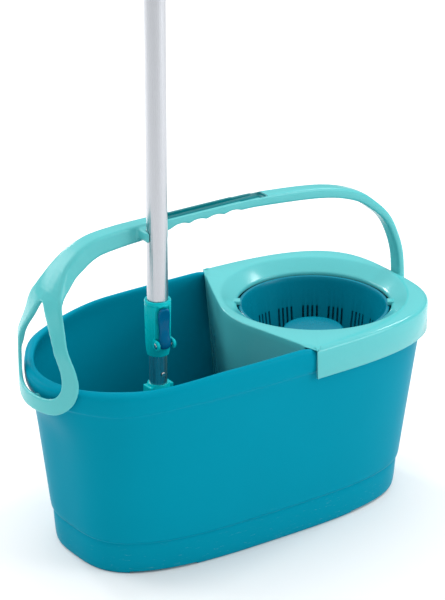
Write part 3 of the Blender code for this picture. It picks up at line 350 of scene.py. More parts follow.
def between(low, high, share):
    return low + (high - low) * share


def shade(mesh, smooth_angle):
    """Smooth shading, with edges that turn by more than the angle kept crisp."""
    mesh.shade_smooth()
    mesh.set_sharp_from_angle(angle=math.radians(smooth_angle))


def mesh_from(name, graph, smooth_angle=40.0):
    bmesh.ops.recalc_face_normals(graph, faces=graph.faces)
    mesh = bpy.data.meshes.new(name)
    graph.to_mesh(mesh)
    graph.free()
    shade(mesh, smooth_angle)
    return mesh


def add_object(name, data, location=(0.0, 0.0, 0.0), turn=0.0):
    made = bpy.data.objects.new(name, data)
    bpy.context.scene.collection.objects.link(made)
    made.location = location
    made.rotation_euler = (0.0, 0.0, turn)
    return made


def loft(name, rings, closed=False, smooth_angle=40.0):
    """A skin over rings of equally many points. It has end caps, or is closed on its first ring."""
    graph = bmesh.new()
    made = [[graph.verts.new(point) for point in ring] for ring in rings]
    pairs = list(zip(made, made[1:]))
    if closed:
        pairs.append((made[-1], made[0]))
    for lower, upper in pairs:
        for here in range(len(lower)):
            after = (here + 1) % len(lower)
            graph.faces.new((lower[here], lower[after], upper[after], upper[here]))
    if not closed:
        graph.faces.new(made[0])
        graph.faces.new(made[-1])
    return mesh_from(name, graph, smooth_angle)


def circle(radius, z, steps):
    return [
        Vector((radius * math.cos(math.tau * k / steps), radius * math.sin(math.tau * k / steps), z))
        for k in range(steps)
    ]


def turned(name, profile, steps, closed=False):
    """A turned solid about Z: profile is (radius, z) pairs. Closed makes a ring with a hole through it."""
    return loft(name, [circle(radius, z, steps) for radius, z in profile], closed)


def rod(name, radius, low, high, steps=32, chamfer=0.0004):
    inner = radius - chamfer
    profile = [(inner, low), (radius, low + chamfer), (radius, high - chamfer), (inner, high)]
    return turned(name, profile, steps)


def block(name, low, high, bevel=0.0):
    graph = bmesh.new()
    bmesh.ops.create_cube(graph, size=1.0)
    size = [b - a for a, b in zip(low, high)]
    middle = [(a + b) / 2 for a, b in zip(low, high)]
    for vert in graph.verts:
        vert.co = Vector([m + s * c for m, s, c in zip(middle, size, vert.co)])
    if bevel:
        bmesh.ops.bevel(graph, geom=graph.edges[:], offset=bevel, segments=3, affect="EDGES", profile=0.5)
    return mesh_from(name, graph)


def turn_mesh(mesh, angle, axis):
    mesh.transform(Matrix.Rotation(angle, 4, axis))
    return mesh


def apply_modifiers(target):
    """Turns the object's evaluated shape into its mesh."""
    bpy.context.view_layer.update()
    graph = bpy.context.evaluated_depsgraph_get()
    mesh = bpy.data.meshes.new_from_object(target.evaluated_get(graph))
    target.modifiers.clear()
    target.data = mesh
    return target


def combine(target, mesh, place, turn, operation):
    helper = add_object(mesh.name, mesh, place, turn)
    modifier = target.modifiers.new(helper.name, "BOOLEAN")
    modifier.object = helper
    modifier.operation = operation
    modifier.solver = "EXACT"
    apply_modifiers(target)
    bpy.data.objects.remove(helper)


def join(target, mesh, place=(0.0, 0.0, 0.0), turn=0.0):
    """Joins the mesh, put at the place, to the target."""
    combine(target, mesh, place, turn, "UNION")


def cut(target, mesh, place=(0.0, 0.0, 0.0), turn=0.0):
    """Cuts the mesh, put at the place, out of the target."""
    combine(target, mesh, place, turn, "DIFFERENCE")


def subdivide(target):
    modifier = target.modifiers.new("finer", "SUBSURF")
    modifier.levels = 1
    modifier.render_levels = 1
    return apply_modifiers(target)


def remesh_soft(target, voxel, rounds):
    """One even skin over joined shapes, with every edge rounded a little as a mould's are."""
    modifier = target.modifiers.new("even", "REMESH")
    modifier.mode = "VOXEL"
    modifier.voxel_size = voxel
    apply_modifiers(target)
    modifier = target.modifiers.new("soften", "SMOOTH")
    modifier.factor = 0.5
    modifier.iterations = rounds
    apply_modifiers(target)
    target.data.shade_smooth()


def curve_through(points, samples):
    """Even points along a Catmull-Rom curve through the given ones."""
    points = [Vector(p) for p in points]
    ends = [2 * points[0] - points[1]] + points + [2 * points[-1] - points[-2]]
    dense = []
    for a, b, c, d in zip(ends, ends[1:], ends[2:], ends[3:]):
        slope, square, cube = c - a, 2 * a - 5 * b + 4 * c - d, 3 * b - a - 3 * c + d
        for k in range(16):
            t = k / 16
            dense.append(0.5 * (2 * b + slope * t + square * t ** 2 + cube * t ** 3))
    dense.append(points[-1])
    return spread_evenly(dense, samples)


def spread_evenly(dense, samples):
    reached = [0.0]
    for here, after in zip(dense, dense[1:]):
        reached.append(reached[-1] + (after - here).length)
    found, k = [], 0
    for step in range(samples):
        goal = reached[-1] * step / (samples - 1)
        while k < len(dense) - 2 and reached[k + 1] < goal:
            k += 1
        share = (goal - reached[k]) / max(reached[k + 1] - reached[k], 1e-9)
        found.append(dense[k].lerp(dense[k + 1], min(share, 1.0)))
    return found


def stands_for(piece, body, slot, *nodes):
    """The piece gets its finish, rides on the body and is shown for the CAD nodes."""
    piece.data.materials.clear()
    piece.data.materials.append(MATERIALS[slot])
    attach(piece, body)
    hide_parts(*nodes)


# ------------ bucket

def oval_point(angle, length, width, power):
    """A point of a squared oval: |x/a|^p + |y/b|^p = 1, about the bucket's middle."""
    a, b = length / 2, width / 2
    away = math.atan2(b * math.sin(angle), a * math.cos(angle))
    cosine, sine = abs(math.cos(away) / a), abs(math.sin(away) / b)
    radius = (cosine ** power + sine ** power) ** (-1 / power)
    return radius * math.cos(away), radius * math.sin(away)


def spout(y, z):
    """How far the pouring lip stands out of the oval at the -X end."""
    across = max(0.0, 1 - (y / SPOUT_HALF_WIDTH) ** 2) ** 2
    return SPOUT_REACH * across * smooth_step((z - SPOUT_FOOT_Z) / (SPOUT_HEAD_Z - SPOUT_FOOT_Z))


def rim_height(x, y):
    """The rim dips towards the pouring lip, and steps down under the spin insert."""
    covered = SKIRT_NEAR_X if y < 0 else SKIRT_FAR_X
    step = RIM_STEP * smooth_step((x - covered + RIM_STEP_BEFORE) / RIM_STEP_RUN)
    dip = 0.0095 * smooth_step((-0.080 - x) / 0.120) + 0.006 * smooth_step((-0.190 - x) / 0.050)
    return RIM_Z - dip - step


def shoulder_height(x):
    return SHOULDER_Z - 0.008 * smooth_step((-0.130 - x) / 0.100)


def bucket_ring(length, width, power, height, inset):
    """A ring of the bucket. height is a number or a function of x and y, inset one of x from its middle."""
    ring = []
    for k in range(BUCKET_STEPS):
        angle = math.tau * (k + 0.5) / BUCKET_STEPS
        x, y = oval_point(angle, length, width, power)
        shrink = inset(x) if callable(inset) else inset
        x, y = oval_point(angle, length - 2 * shrink, width - 2 * shrink, power)
        z = height(x + BUCKET_X, y) if callable(height) else height
        if x < 0:
            x -= spout(y, z)
        ring.append(Vector((x + BUCKET_X, y, z)))
    return ring


def body_ring(z, inset):
    """A ring of the tapered wall, between the base and the shoulder."""
    share = z / SHOULDER_Z
    return bucket_ring(
        between(BASE_LENGTH, SHOULDER_LENGTH, share),
        between(BASE_WIDTH, SHOULDER_WIDTH, share),
        between(BASE_POWER, TOP_POWER, share),
        z,
        inset,
    )


def crest_inset(x):
    """The rim's crest lies further in from the lip's edge towards the spout."""
    return 0.0055 + 0.0040 * smooth_step((-0.110 - x) / 0.110)


def lip_ring(share, crest, extra):
    """A ring of the lip, from the shoulder (share 0) to the rim (share 1).

    It lies in by crest times the inset of the rim's crest, plus extra.
    """
    return bucket_ring(
        LIP_LENGTH,
        LIP_WIDTH,
        TOP_POWER,
        lambda x, y: between(shoulder_height(x), rim_height(x, y), share),
        lambda x: crest * crest_inset(x) + extra,
    )


def foot_arch(side):
    """The shallow arch across the bucket between the middle feet and an end foot."""
    near, far = sorted((BUCKET_X + side * ARCH_NEAR, BUCKET_X + side * ARCH_FAR))
    return block(f"foot_arch_{side}", (near, -0.2, -0.01), (far, 0.2, FOOT_HEIGHT))


def bucket_shell():
    """The bucket's skin, up its outside, over the rolled lip and down its inside.

    Rows outside are height and inset, on the lip share, crest and extra, and inside height and inset
    past the wall.
    """
    outside = [
        (0.0055, 0.0170), (0.0003, 0.0152), (0.0, 0.0140), (0.0, 0.0038), (0.0003, 0.0024),
        (0.0022, 0.0010), (0.0090, 0.0004), (BAND_Z - 0.0060, 0.0014), (BAND_Z - 0.0022, 0.0017),
        (BAND_Z - 0.0004, 0.0026), (BAND_Z + 0.0012, 0.0027), (BAND_Z + 0.0026, 0.0018),
        (BAND_Z + 0.0038, 0.0004), (BAND_Z + 0.0070, 0.0), (0.070, 0.0), (0.100, 0.0), (0.130, 0.0),
        (0.160, 0.0), (0.180, 0.0), (0.196, 0.0),
    ]
    lip = [
        (0.0, 0.0, 0.0040), (0.07, 0.0, 0.0036), (0.13, 0.0, 0.0020), (0.20, 0.0, 0.0008),
        (0.45, 0.0, 0.0002), (0.72, 0.0, 0.0), (0.84, 0.0, 0.0003), (0.92, 0.0, 0.0014),
        (0.975, 0.45, 0.0), (1.0, 0.80, 0.0), (1.0, 1.0, 0.0004), (0.985, 1.0, 0.0018),
        (0.94, 1.0, 0.0026), (0.84, 1.0, 0.0031), (0.30, 0.0, 0.0064),
    ]
    inside = [
        (0.198, 0.0), (0.160, 0.0), (0.100, 0.0), (0.050, 0.0003), (0.026, 0.0012), (0.0150, 0.0032),
        (0.0100, 0.0070), (FLOOR_Z + 0.0002, 0.0120), (FLOOR_Z, 0.0200),
    ]
    rings = [body_ring(z, inset) for z, inset in outside]
    rings += [lip_ring(*row) for row in lip]
    rings += [body_ring(z, WALL + inset) for z, inset in inside]
    return loft("bucket_shell", rings, smooth_angle=60.0)


def make_bucket():
    shell = subdivide(add_object("bucket_shell", bucket_shell()))
    for side in (-1, 1):
        cut(shell, foot_arch(side))
        hole = turn_mesh(rod("peg_hole", PEG_RADIUS + 0.0004, -0.02, 0.02), math.pi / 2, "Y")
        cut(shell, hole, (side * PEG_WALL_X, 0.0, PIVOT_Z))
    shade(shell.data, 50)
    stands_for(shell, "bucket_set", "petrol_plastic", "bucket")


# ------------ spin insert

# The partition's line across the insert, from the front to the back: x, y.
PARTITION = [
    (0.0290, -0.1195), (0.0270, -0.1120), (0.0230, -0.0940), (0.0150, -0.0580), (0.0080, -0.0220),
    (0.0110, 0.0150), (0.0290, 0.0600), (0.0450, 0.0950), (0.0530, 0.1120), (0.0560, 0.1195),
]


def skirt_line(count):
    """The insert's outer edge just outside the lip, from the front round the +X end to the back."""
    dense = []
    for k in range(1441):
        angle = math.pi * (k / 1440 - 0.5) * 1.2
        x, y = oval_point(angle, LIP_LENGTH + 2 * SKIRT_GAP, LIP_WIDTH + 2 * SKIRT_GAP, TOP_POWER)
        point = Vector((x + BUCKET_X, y, 0.0))
        first = SKIRT_NEAR_X if y < 0 else SKIRT_FAR_X
        if point.x >= first:
            dense.append(point)
    return spread_evenly(dense, count)


def insert_outline():
    """The insert's edge as (point, bottom z, draft): the skirt, and the partition between its ends.

    Where the edge crosses the bucket's rim, its bottom stays above the rim.
    """
    lintel = INSERT_TOP - INSERT_SHEET - 0.0003
    aside = Vector((-0.0008, 0.0, 0.0))

    def over_rim(*points):
        return [(point, lintel, 1.0) for point in points]

    skirt = skirt_line(110)
    partition = curve_through([(x, y, 0.0) for x, y in reversed(PARTITION)], 56)
    outline = [(point, SKIRT_BOTTOM, 1.0) for point in skirt]
    outline += over_rim(skirt[-1] + aside, skirt[-1].lerp(partition[0], 0.5), partition[0])
    outline += [(point, PARTITION_BOTTOM, PARTITION_DRAFT) for point in partition[1:-1]]
    outline += over_rim(partition[-1], partition[-1].lerp(skirt[0], 0.5), skirt[0] + aside)
    return outline


def insert_ring(outline, inset, z):
    """The outline moved in by inset, a number or a function of the bottom, at the height z(bottom)."""
    points = [point for point, _, _ in outline]
    ring = []
    for k, (point, bottom, draft) in enumerate(outline):
        along = points[(k + 1) % len(points)] - points[k - 1]
        inward = Vector((-along.y, along.x, 0.0)).normalized()
        moved = point + inward * (inset(bottom) if callable(inset) else inset)
        height = z(bottom)
        if draft < 1.0:
            share = (INSERT_TOP - height) / (INSERT_TOP - bottom)
            centre = Vector((BASKET_X, 0.0, 0.0))
            moved = centre + (moved - centre) * between(1.0, draft, share)
        ring.append(Vector((moved.x, moved.y, height)))
    return ring


def opening_ring(outline, radius, z):
    """A circle round the basket's axis, with each point towards one of the outline's."""
    ring = []
    for point, _, _ in outline:
        away = Vector((point.x - BASKET_X, point.y, 0.0)).normalized() * radius
        ring.append(Vector((BASKET_X + away.x, away.y, z)))
    return ring


def top_edge(outline, inset, drop):
    """A ring of the insert's rounded top edge. The partition's edge is crisper than the skirt's."""
    def tight(bottom):
        return 0.30 if bottom < SKIRT_BOTTOM - 0.01 else 1.0

    def height(bottom):
        lift = min(bottom + 0.0012 - 0.05 * drop, INSERT_TOP - 0.0016)
        return max(INSERT_TOP - 0.0002 - drop * tight(bottom), lift)

    return insert_ring(outline, lambda bottom: inset * tight(bottom), height)


def insert_shell():
    """The insert's skin: down from the opening, over its top and outer edge, and back underneath."""
    outline = insert_outline()
    sheet = INSERT_SHEET
    under = INSERT_TOP - sheet
    funnel = [
        (OPENING_RADIUS + 0.0003, OPENING_BOTTOM),
        (OPENING_RADIUS, OPENING_BOTTOM + 0.0006),
        (OPENING_RADIUS + 0.0001, OPENING_Z - 0.0012),
        (OPENING_RADIUS + 0.0008, OPENING_Z),
        (OPENING_RADIUS + 0.0026, OPENING_Z + 0.0012),
        (between(OPENING_RADIUS, FUNNEL_RADIUS, 0.62), between(OPENING_Z, INSERT_TOP, 0.56)),
        (FUNNEL_RADIUS - 0.0022, INSERT_TOP - 0.0030),
        (FUNNEL_RADIUS, INSERT_TOP - 0.0016),
        (FUNNEL_RADIUS + 0.0020, INSERT_TOP - 0.0006),
        (FUNNEL_RADIUS + 0.0040, INSERT_TOP - 0.0003),
    ]
    edge = [(0.0062, 0.0), (0.0040, 0.0004), (0.0022, 0.0013), (0.0008, 0.0028), (0.0001, 0.0050)]
    outer = [
        (0.0, lambda bottom: max(INSERT_TOP - 0.0090, bottom + 0.0007)),
        (0.0, lambda bottom: bottom + 0.0006),
        (0.0005, lambda bottom: bottom),
        (sheet - 0.0003, lambda bottom: bottom),
        (sheet, lambda bottom: bottom + 0.0002),
        (sheet, lambda bottom: max(under - 0.0030, bottom + 0.0003)),
        (0.0048, lambda bottom: under),
    ]
    underside = [
        (FUNNEL_RADIUS + 0.0014, under),
        (OPENING_RADIUS + 0.0028, OPENING_Z - 0.0010),
        (OPENING_RADIUS + 0.0024, OPENING_BOTTOM),
    ]
    rings = [opening_ring(outline, radius, z) for radius, z in funnel]
    rings += [top_edge(outline, inset, drop) for inset, drop in edge]
    rings += [insert_ring(outline, inset, height) for inset, height in outer]
    rings += [opening_ring(outline, radius, z) for radius, z in underside]
    return loft("insert_shell", rings, closed=True, smooth_angle=60.0)


def make_insert():
    """The spin insert, with a notch over the handle's peg and two tabs over the basket's rim."""
    shell = add_object("insert_shell", insert_shell())
    low = (0.2300, -PEG_NOTCH_REACH, SKIRT_BOTTOM - 0.0100)
    high = (0.2600, PEG_NOTCH_REACH, PIVOT_Z + PEG_NOTCH_REACH)
    cut(shell, block("peg_notch", low, high, 0.0012))
    for side in (0, 1):
        low = (OPENING_RADIUS - 0.0048, -0.0055, BASKET_TOP + 0.0006)
        high = (OPENING_RADIUS + 0.0040, 0.0055, OPENING_Z + 0.0022)
        tab = turn_mesh(block("basket_tab", low, high, 0.0009), TAB_ANGLE + math.pi * side, "Z")
        join(shell, tab, (BASKET_X, 0.0, 0.0))
    shade(shell.data, 50)
    stands_for(shell, "bucket_set", "turquoise_plastic", "spin_insert")


# ------------ spin basket

def basket_slots():
    """All the basket's slots as one mesh: groups of upright slots round the wall."""
    graph = bmesh.new()
    for group in range(SLOT_GROUPS):
        for slot in range(SLOTS_IN_GROUP):
            sideways = (slot - (SLOTS_IN_GROUP - 1) / 2) * SLOT_PITCH
            turn = Matrix.Rotation(math.tau * (group + 0.5) / SLOT_GROUPS, 4, "Z")
            place = turn @ Matrix.Translation((SLOT_RADIUS, sideways, (SLOT_LOW + SLOT_HIGH) / 2))
            size = Matrix.Diagonal((SLOT_DEPTH, SLOT_WIDTH, SLOT_HIGH - SLOT_LOW, 1.0))
            bmesh.ops.create_cube(graph, size=1.0, matrix=place @ size)
    return mesh_from("basket_slots", graph)


def make_basket():
    """The spin basket: a slotted drum with a hub over the spindle."""
    floor, top, sheet = BASKET_FLOOR, BASKET_TOP, 0.0022
    profile = [
        (0.0010, HUB_TOP + 0.0001),
        (0.0200, HUB_TOP),
        (HUB_RADIUS - 0.0034, HUB_TOP - 0.0001),
        (HUB_RADIUS - 0.0018, HUB_TOP - 0.0005),
        (HUB_RADIUS - 0.0006, HUB_TOP - 0.0014),
        (HUB_RADIUS, HUB_TOP - 0.0030),
        (HUB_RADIUS + 0.0030, floor + 0.0060),
        (HUB_RADIUS + 0.0042, floor + 0.0022),
        (HUB_RADIUS + 0.0075, floor),
        (0.0690, floor),
        (0.0725, floor + 0.0016),
        (0.0748, floor + 0.0055),
        (0.0843, top - 0.0060),
        (0.0849, top - 0.0018),
        (0.0857, top - 0.0004),
        (0.0866, top),
        (BASKET_RADIUS - 0.0008, top),
        (BASKET_RADIUS, top - 0.0006),
        (BASKET_RADIUS, top - 0.0022),
        (0.0869, top - 0.0032),
        (0.0772, floor + 0.0048),
        (0.0716, floor - sheet),
        (HUB_RADIUS + 0.0060, floor - sheet),
        (HUB_RADIUS + 0.0008, floor + 0.0040),
        (HUB_RADIUS - 0.0022, HUB_TOP - 0.0038),
        (0.0105, HUB_TOP - 0.0030),
        (0.0105, SPINDLE_TOP - 0.0280),
        (0.0068, SPINDLE_TOP - 0.0280),
        (0.0068, SPINDLE_TOP + 0.0020),
        (0.0010, SPINDLE_TOP + 0.0020),
    ]
    shell = add_object("basket_shell", turned("basket_shell", profile, 160), (BASKET_X, 0.0, 0.0))
    cut(shell, basket_slots(), (BASKET_X, 0.0, 0.0))
    shade(shell.data, 35)
    stands_for(shell, "basket", "dark_petrol_plastic", "spin_basket")


# ------------ carry handle

# The loop at the spout: half widths at heights over the pivot, outside and at the hole.
LOOP_OUTSIDE = [
    (0.0000, -0.0110), (0.0200, -0.0106), (0.0370, -0.0080), (0.0500, 0.0005), (0.0585, 0.0130),
    (0.0625, 0.0290), (0.0610, 0.0440), (0.0562, 0.0600), (0.0468, 0.0785), (0.0396, 0.0960),
    (0.0345, 0.1110), (0.0290, 0.1230), (0.0190, 0.1300), (0.0000, 0.1315),
]
LOOP_HOLE = [
    (0.0000, 0.0080), (0.0150, 0.0082), (0.0285, 0.0102), (0.0365, 0.0145), (0.0427, 0.0234),
    (0.0443, 0.0370), (0.0405, 0.0543), (0.0310, 0.0735), (0.0185, 0.0912), (0.0095, 0.1055),
    (0.0040, 0.1135), (0.0000, 0.1150),
]
# The bow's outer line: x, height over the pivot, width across, thickness.
BOW = [
    (-0.2446, 0.1185, 0.0600, 0.0050),
    (-0.2402, 0.1270, 0.0520, 0.0090),
    (-0.2345, 0.1362, 0.0440, 0.0140),
    (-0.2221, 0.1524, 0.0318, 0.0200),
    (-0.2080, 0.1636, 0.0275, 0.0225),
    (-0.1955, 0.1708, 0.0240, 0.0230),
    (-0.1756, 0.1772, 0.0215, 0.0226),
    (-0.1441, 0.1797, 0.0210, 0.0215),
    (-0.1100, 0.1800, 0.0210, 0.0195),
    (-0.0800, 0.1798, 0.0210, 0.0150),
    (-0.0250, 0.1796, 0.0210, 0.0132),
    (0.0200, 0.1790, 0.0210, 0.0128),
    (0.0450, 0.1780, 0.0200, 0.0130),
    (0.1150, 0.1715, 0.0190, 0.0135),
    (0.1590, 0.1632, 0.0190, 0.0130),
    (0.1930, 0.1500, 0.0190, 0.0120),
    (0.2140, 0.1346, 0.0190, 0.0110),
    (0.2330, 0.1165, 0.0190, 0.0100),
    (0.2460, 0.0950, 0.0190, 0.0095),
    (0.2570, 0.0640, 0.0190, 0.0095),
    (0.2605, 0.0300, 0.0190, 0.0095),
    (0.2610, 0.0000, 0.0200, 0.0095),
    (0.2605, -0.0120, 0.0160, 0.0090),
]


def loop_face(y, height):
    """The x of the loop's outer face: it bulges round the spout and leans in towards the bow."""
    lean = 0.0110 * smooth_step((height - 0.058) / 0.046) + 8.9 * max(0.0, height - 0.094) ** 2
    return -HANDLE_REACH + y * y / (2 * LOOP_CURVE) + lean


def mirrored_line(half, count):
    """Even points round a closed line that is given as one half, from its bottom to its top."""
    right = curve_through([(y, z, 0.0) for y, z in half], count // 2 + 1)
    left = [Vector((-p.x, p.y, 0.0)) for p in reversed(right[1:-1])]
    return right + left


def loop_ring(line, depth):
    """The line laid on the loop's face and moved in by depth, a number or a function of its point."""
    deep = depth if callable(depth) else lambda point: depth
    return [Vector((loop_face(p.x, p.y) + deep(p), p.x, PIVOT_Z + p.y)) for p in line]


def flange_depth(point):
    """The flange round the loop's hole is shallow beside the spout and deep over it."""
    return between(LOOP_SHEET - 0.0012, LOOP_FLANGE, smooth_step((point.y - 0.040) / 0.020))


def handle_loop():
    """The loop round the spout: its outer face, the flange round its hole, and its back."""
    count = 120
    outside, hole = mirrored_line(LOOP_OUTSIDE, count), mirrored_line(LOOP_HOLE, count)

    def across(share):
        return [p.lerp(q, share) for p, q in zip(outside, hole)]

    rings = [
        loop_ring(outside, 0.0016),
        loop_ring(across(0.06), 0.0005),
        loop_ring(across(0.16), 0.0),
        loop_ring(across(0.88), 0.0),
        loop_ring(hole, 0.0012),
        loop_ring(hole, flange_depth),
        loop_ring(across(0.90), lambda point: flange_depth(point) + 0.0012),
        loop_ring(across(0.80), lambda point: flange_depth(point) + 0.0008),
        loop_ring(across(0.66), LOOP_SHEET),
        loop_ring(across(0.18), LOOP_SHEET),
        loop_ring(across(0.08), LOOP_SHEET - 0.0010),
        loop_ring(across(0.02), LOOP_SHEET - 0.0024),
    ]
    return loft("handle_loop", rings, closed=True)


def bow_section(point, outward, width, thickness):
    """A rounded bar section, with its outer face at the point. Near the loop it curves as the loop does."""
    half = width / 2
    edge = min(0.0030, thickness * 0.30)
    side = [
        (0.0, 0.0), (0.5 * half, 0.0), (half - edge, 0.0), (half - 0.3 * edge, 0.3 * edge), (half, edge),
        (half, thickness - edge), (half - 0.3 * edge, thickness - 0.3 * edge), (half - edge, thickness),
        (0.5 * half, thickness), (0.0, thickness),
    ]
    outline = side + [(-y, deep) for y, deep in reversed(side[1:-1])]
    curved = smooth_step((-0.190 - point.x) / 0.045) / (2 * LOOP_CURVE)
    return [point + Vector((curved * y * y, y, 0.0)) - outward * deep for y, deep in outline]


def bow_stations(samples):
    """The bow's rows (x, height, width, thickness) at even spacing along its line."""
    line = curve_through([(x, z, 0.0) for x, z, _, _ in BOW], 800)
    sizes = curve_through([(k, width, thickness) for k, (_, _, width, thickness) in enumerate(BOW)], 800)
    corners = [Vector((x, z, 0.0)) for x, z, _, _ in BOW]
    marks = [min(range(len(line)), key=lambda n: (line[n] - corner).length) for corner in corners]
    found = []
    for step in range(samples):
        n = round(step * (len(line) - 1) / (samples - 1))
        k = max(0, min(len(BOW) - 2, sum(mark <= n for mark in marks) - 1))
        share = (n - marks[k]) / max(marks[k + 1] - marks[k], 1)
        wanted = k + min(max(share, 0.0), 1.0)
        row = min(sizes, key=lambda size: abs(size.x - wanted))
        found.append((line[n].x, line[n].y, row.y, row.z))
    return found


def handle_bow():
    stations = bow_stations(90)
    rings = []
    for k, (x, z, width, thickness) in enumerate(stations):
        before, after = stations[max(k - 1, 0)], stations[min(k + 1, len(stations) - 1)]
        along = Vector((after[0] - before[0], 0.0, after[1] - before[1])).normalized()
        outward = Vector((-along.z, 0.0, along.x))
        rings.append(bow_section(Vector((x, 0.0, PIVOT_Z + z)), outward, width, thickness))
    return loft("handle_bow", rings)


def handle_peg(side):
    """A peg with a snap head, through the bucket's end wall. The -X wall is further out, by the spout."""
    wall_x = BUCKET_X + side * WALL_AT_PEGS - (SPOUT_AT_PEGS if side < 0 else 0.0)
    tip = abs(wall_x) - PEG_HEAD_INSIDE
    profile = [
        (0.0058, tip - 0.0030),
        (PEG_RADIUS + 0.0012, tip - 0.0014),
        (PEG_RADIUS + 0.0012, tip),
        (PEG_RADIUS, tip + 0.0004),
        (PEG_RADIUS, HANDLE_REACH - 0.0030),
    ]
    return turn_mesh(turned("handle_peg", profile, 32), side * math.pi / 2, "Y")


def cut_finger_grooves(handle):
    """The finger hollows under the bow's grip: shallow arcs, side by side."""
    radius = ((FINGER_PITCH / 2) ** 2 + FINGER_DEPTH ** 2) / (2 * FINGER_DEPTH)
    for k in range(FINGERS):
        groove = turn_mesh(rod("finger_groove", radius, -0.03, 0.03, 96), math.pi / 2, "X")
        x = FINGER_START + (k + 0.5) * FINGER_PITCH
        cut(handle, groove, (x, 0.0, FINGER_ROOT_Z + FINGER_DEPTH - radius))


def make_handle():
    """The carry handle as one moulding: bow, loop, pole clip and pegs, with grooves and a channel."""
    handle = add_object("handle_shell", handle_bow())
    join(handle, handle_loop())
    half = OUTER_RADIUS + 0.0026
    low = (POLE.x - half, POLE.y - 0.0030, CLIP_LOW_Z)
    high = (POLE.x + half, -0.0080, CLIP_HIGH_Z)
    join(handle, block("pole_clip", low, high, 0.0022))
    for side in (-1, 1):
        join(handle, handle_peg(side), (0.0, 0.0, PIVOT_Z))
    cut_finger_grooves(handle)
    cut(handle, block("grip_channel", GRIP_LOW, GRIP_HIGH, 0.0008))
    remesh_soft(handle, HANDLE_VOXEL, HANDLE_ROUNDS)
    cut(handle, rod("clip_seat", CLIP_RADIUS, CLIP_CUT_LOW_Z, CLIP_CUT_HIGH_Z, 96), POLE_FOOT)
    low = (POLE.x - CLIP_RADIUS, POLE.y - 0.020, CLIP_CUT_LOW_Z)
    high = (POLE.x + CLIP_RADIUS, POLE.y, CLIP_CUT_HIGH_Z)
    cut(handle, block("clip_mouth", low, high))
    shade(handle.data, 55)
    stands_for(handle, "handle", "turquoise_plastic", "carry_handle")
    # Painted shade: the grip channel's inside is coloured darker, in place of the shade in the recess.
    handle.data.materials[0] = shaded_recess(
        moulded("handle_plastic_recess_shade", TURQUOISE, 0.22, 0.36, 0.04, 0.02),
        (GRIP_LOW.x - 0.001, GRIP_LOW.y - 0.0007, GRIP_LOW.z - 0.001),
        (GRIP_HIGH.x + 0.001, GRIP_HIGH.y + 0.0007, GRIP_TOP_Z),
        GRIP_SHADE,
    )


# ------------ collar and lever

def along_pin(mesh, side=1):
    """Turns a mesh made along +Z to the lever's pin: towards +X, or towards -X for side -1."""
    turn_mesh(mesh, side * math.pi / 2, "Y")
    mesh.transform(Matrix.Translation((0.0, -LEVER_PIN_OUT, LEVER_PIN.z)))
    return mesh


def cut_pin_bore(target):
    cut(target, along_pin(rod("pin_bore", PIN_BORE, -0.03, 0.03)), POLE_FOOT, LEVER_YAW)


def across_path(path, k, beside):
    """Two directions across the path at its point k, the first of them square to beside as well."""
    along = (path[min(k + 1, len(path) - 1)] - path[max(k - 1, 0)]).normalized()
    across = along.cross(Vector(beside)).normalized()
    return across, across.cross(along)


def swept(name, path, radius):
    """A round bead along a path of points, with closed ends."""
    rings = []
    for k, point in enumerate(path):
        across, out = across_path(path, k, (0.0, 1.0, 0.0))
        rings.append([point + across * spot.x + out * spot.y for spot in circle(radius, 0.0, 10)])
    return loft(name, rings)


def lever_border():
    """The raised U-shaped bead on the collar round the lever."""
    half, foot, top = 0.0092, LEVER_PIN.z + 0.0020, LEVER_TOP_Z + 0.0026
    reach = COLLAR_RADIUS - 0.0004
    points = []
    for k in range(41):
        t = k / 40
        if t < 0.35:
            x, z = -half, between(foot, top - half, t / 0.35)
        elif t > 0.65:
            x, z = half, between(top - half, foot, (t - 0.65) / 0.35)
        else:
            angle = math.pi * (1 - (t - 0.35) / 0.30)
            x, z = half * math.cos(angle), top - half + half * math.sin(angle)
        points.append(Vector((x, -math.sqrt(reach ** 2 - x * x), z)))
    return swept("lever_border", spread_evenly(points, 48), 0.0013)


def make_collar():
    """The collar at the tube's foot, with two ears for the lever's pin and a pocket behind the lever."""
    radius, low, high = COLLAR_RADIUS, COLLAR_LOW.z, COLLAR_HIGH.z
    profile = [
        (COLLAR_BORE, low),
        (radius - 0.0036, low),
        (radius - 0.0026, low + 0.0008),
        (radius - 0.0016, low + 0.0060),
        (radius - 0.0008, low + 0.0200),
        (radius, high - 0.0080),
        (radius, high - 0.0048),
        (radius - 0.0006, high - 0.0044),
        (radius - 0.0006, high - 0.0040),
        (radius, high - 0.0036),
        (radius, high - 0.0010),
        (radius - 0.0004, high - 0.0002),
        (radius - 0.0010, high),
        (OUTER_RADIUS + 0.0003, high),
        (OUTER_RADIUS + 0.0003, TUBE_LOW.z - 0.0003),
        (COLLAR_BORE, TUBE_LOW.z - 0.0003),
    ]
    body = turned("collar_shell", profile, 96, closed=True)
    collar = add_object("collar_shell", body, POLE_FOOT, LEVER_YAW)
    for side in (-1, 1):
        ear = along_pin(rod("lever_ear", 0.0058, 0.0082, 0.0116, 40, 0.0007), side)
        join(collar, ear, POLE_FOOT, LEVER_YAW)
        near, far = sorted((side * 0.0085, side * 0.0112))
        low = (near, -LEVER_PIN_OUT, LEVER_PIN.z - 0.0052)
        high = (far, -0.0088, LEVER_PIN.z + 0.0052)
        join(collar, block("ear_web", low, high), POLE_FOOT, LEVER_YAW)
    join(collar, lever_border(), POLE_FOOT, LEVER_YAW)
    low = (-0.0080, -0.0300, LEVER_PIN.z - 0.0068)
    high = (0.0080, -0.0126, LEVER_TOP_Z + 0.0016)
    cut(collar, block("lever_pocket", low, high, 0.001), POLE_FOOT, LEVER_YAW)
    cut_pin_bore(collar)
    shade(collar.data, 35)
    stands_for(collar, "mop_pole", "teal_plastic", "collar_socket")


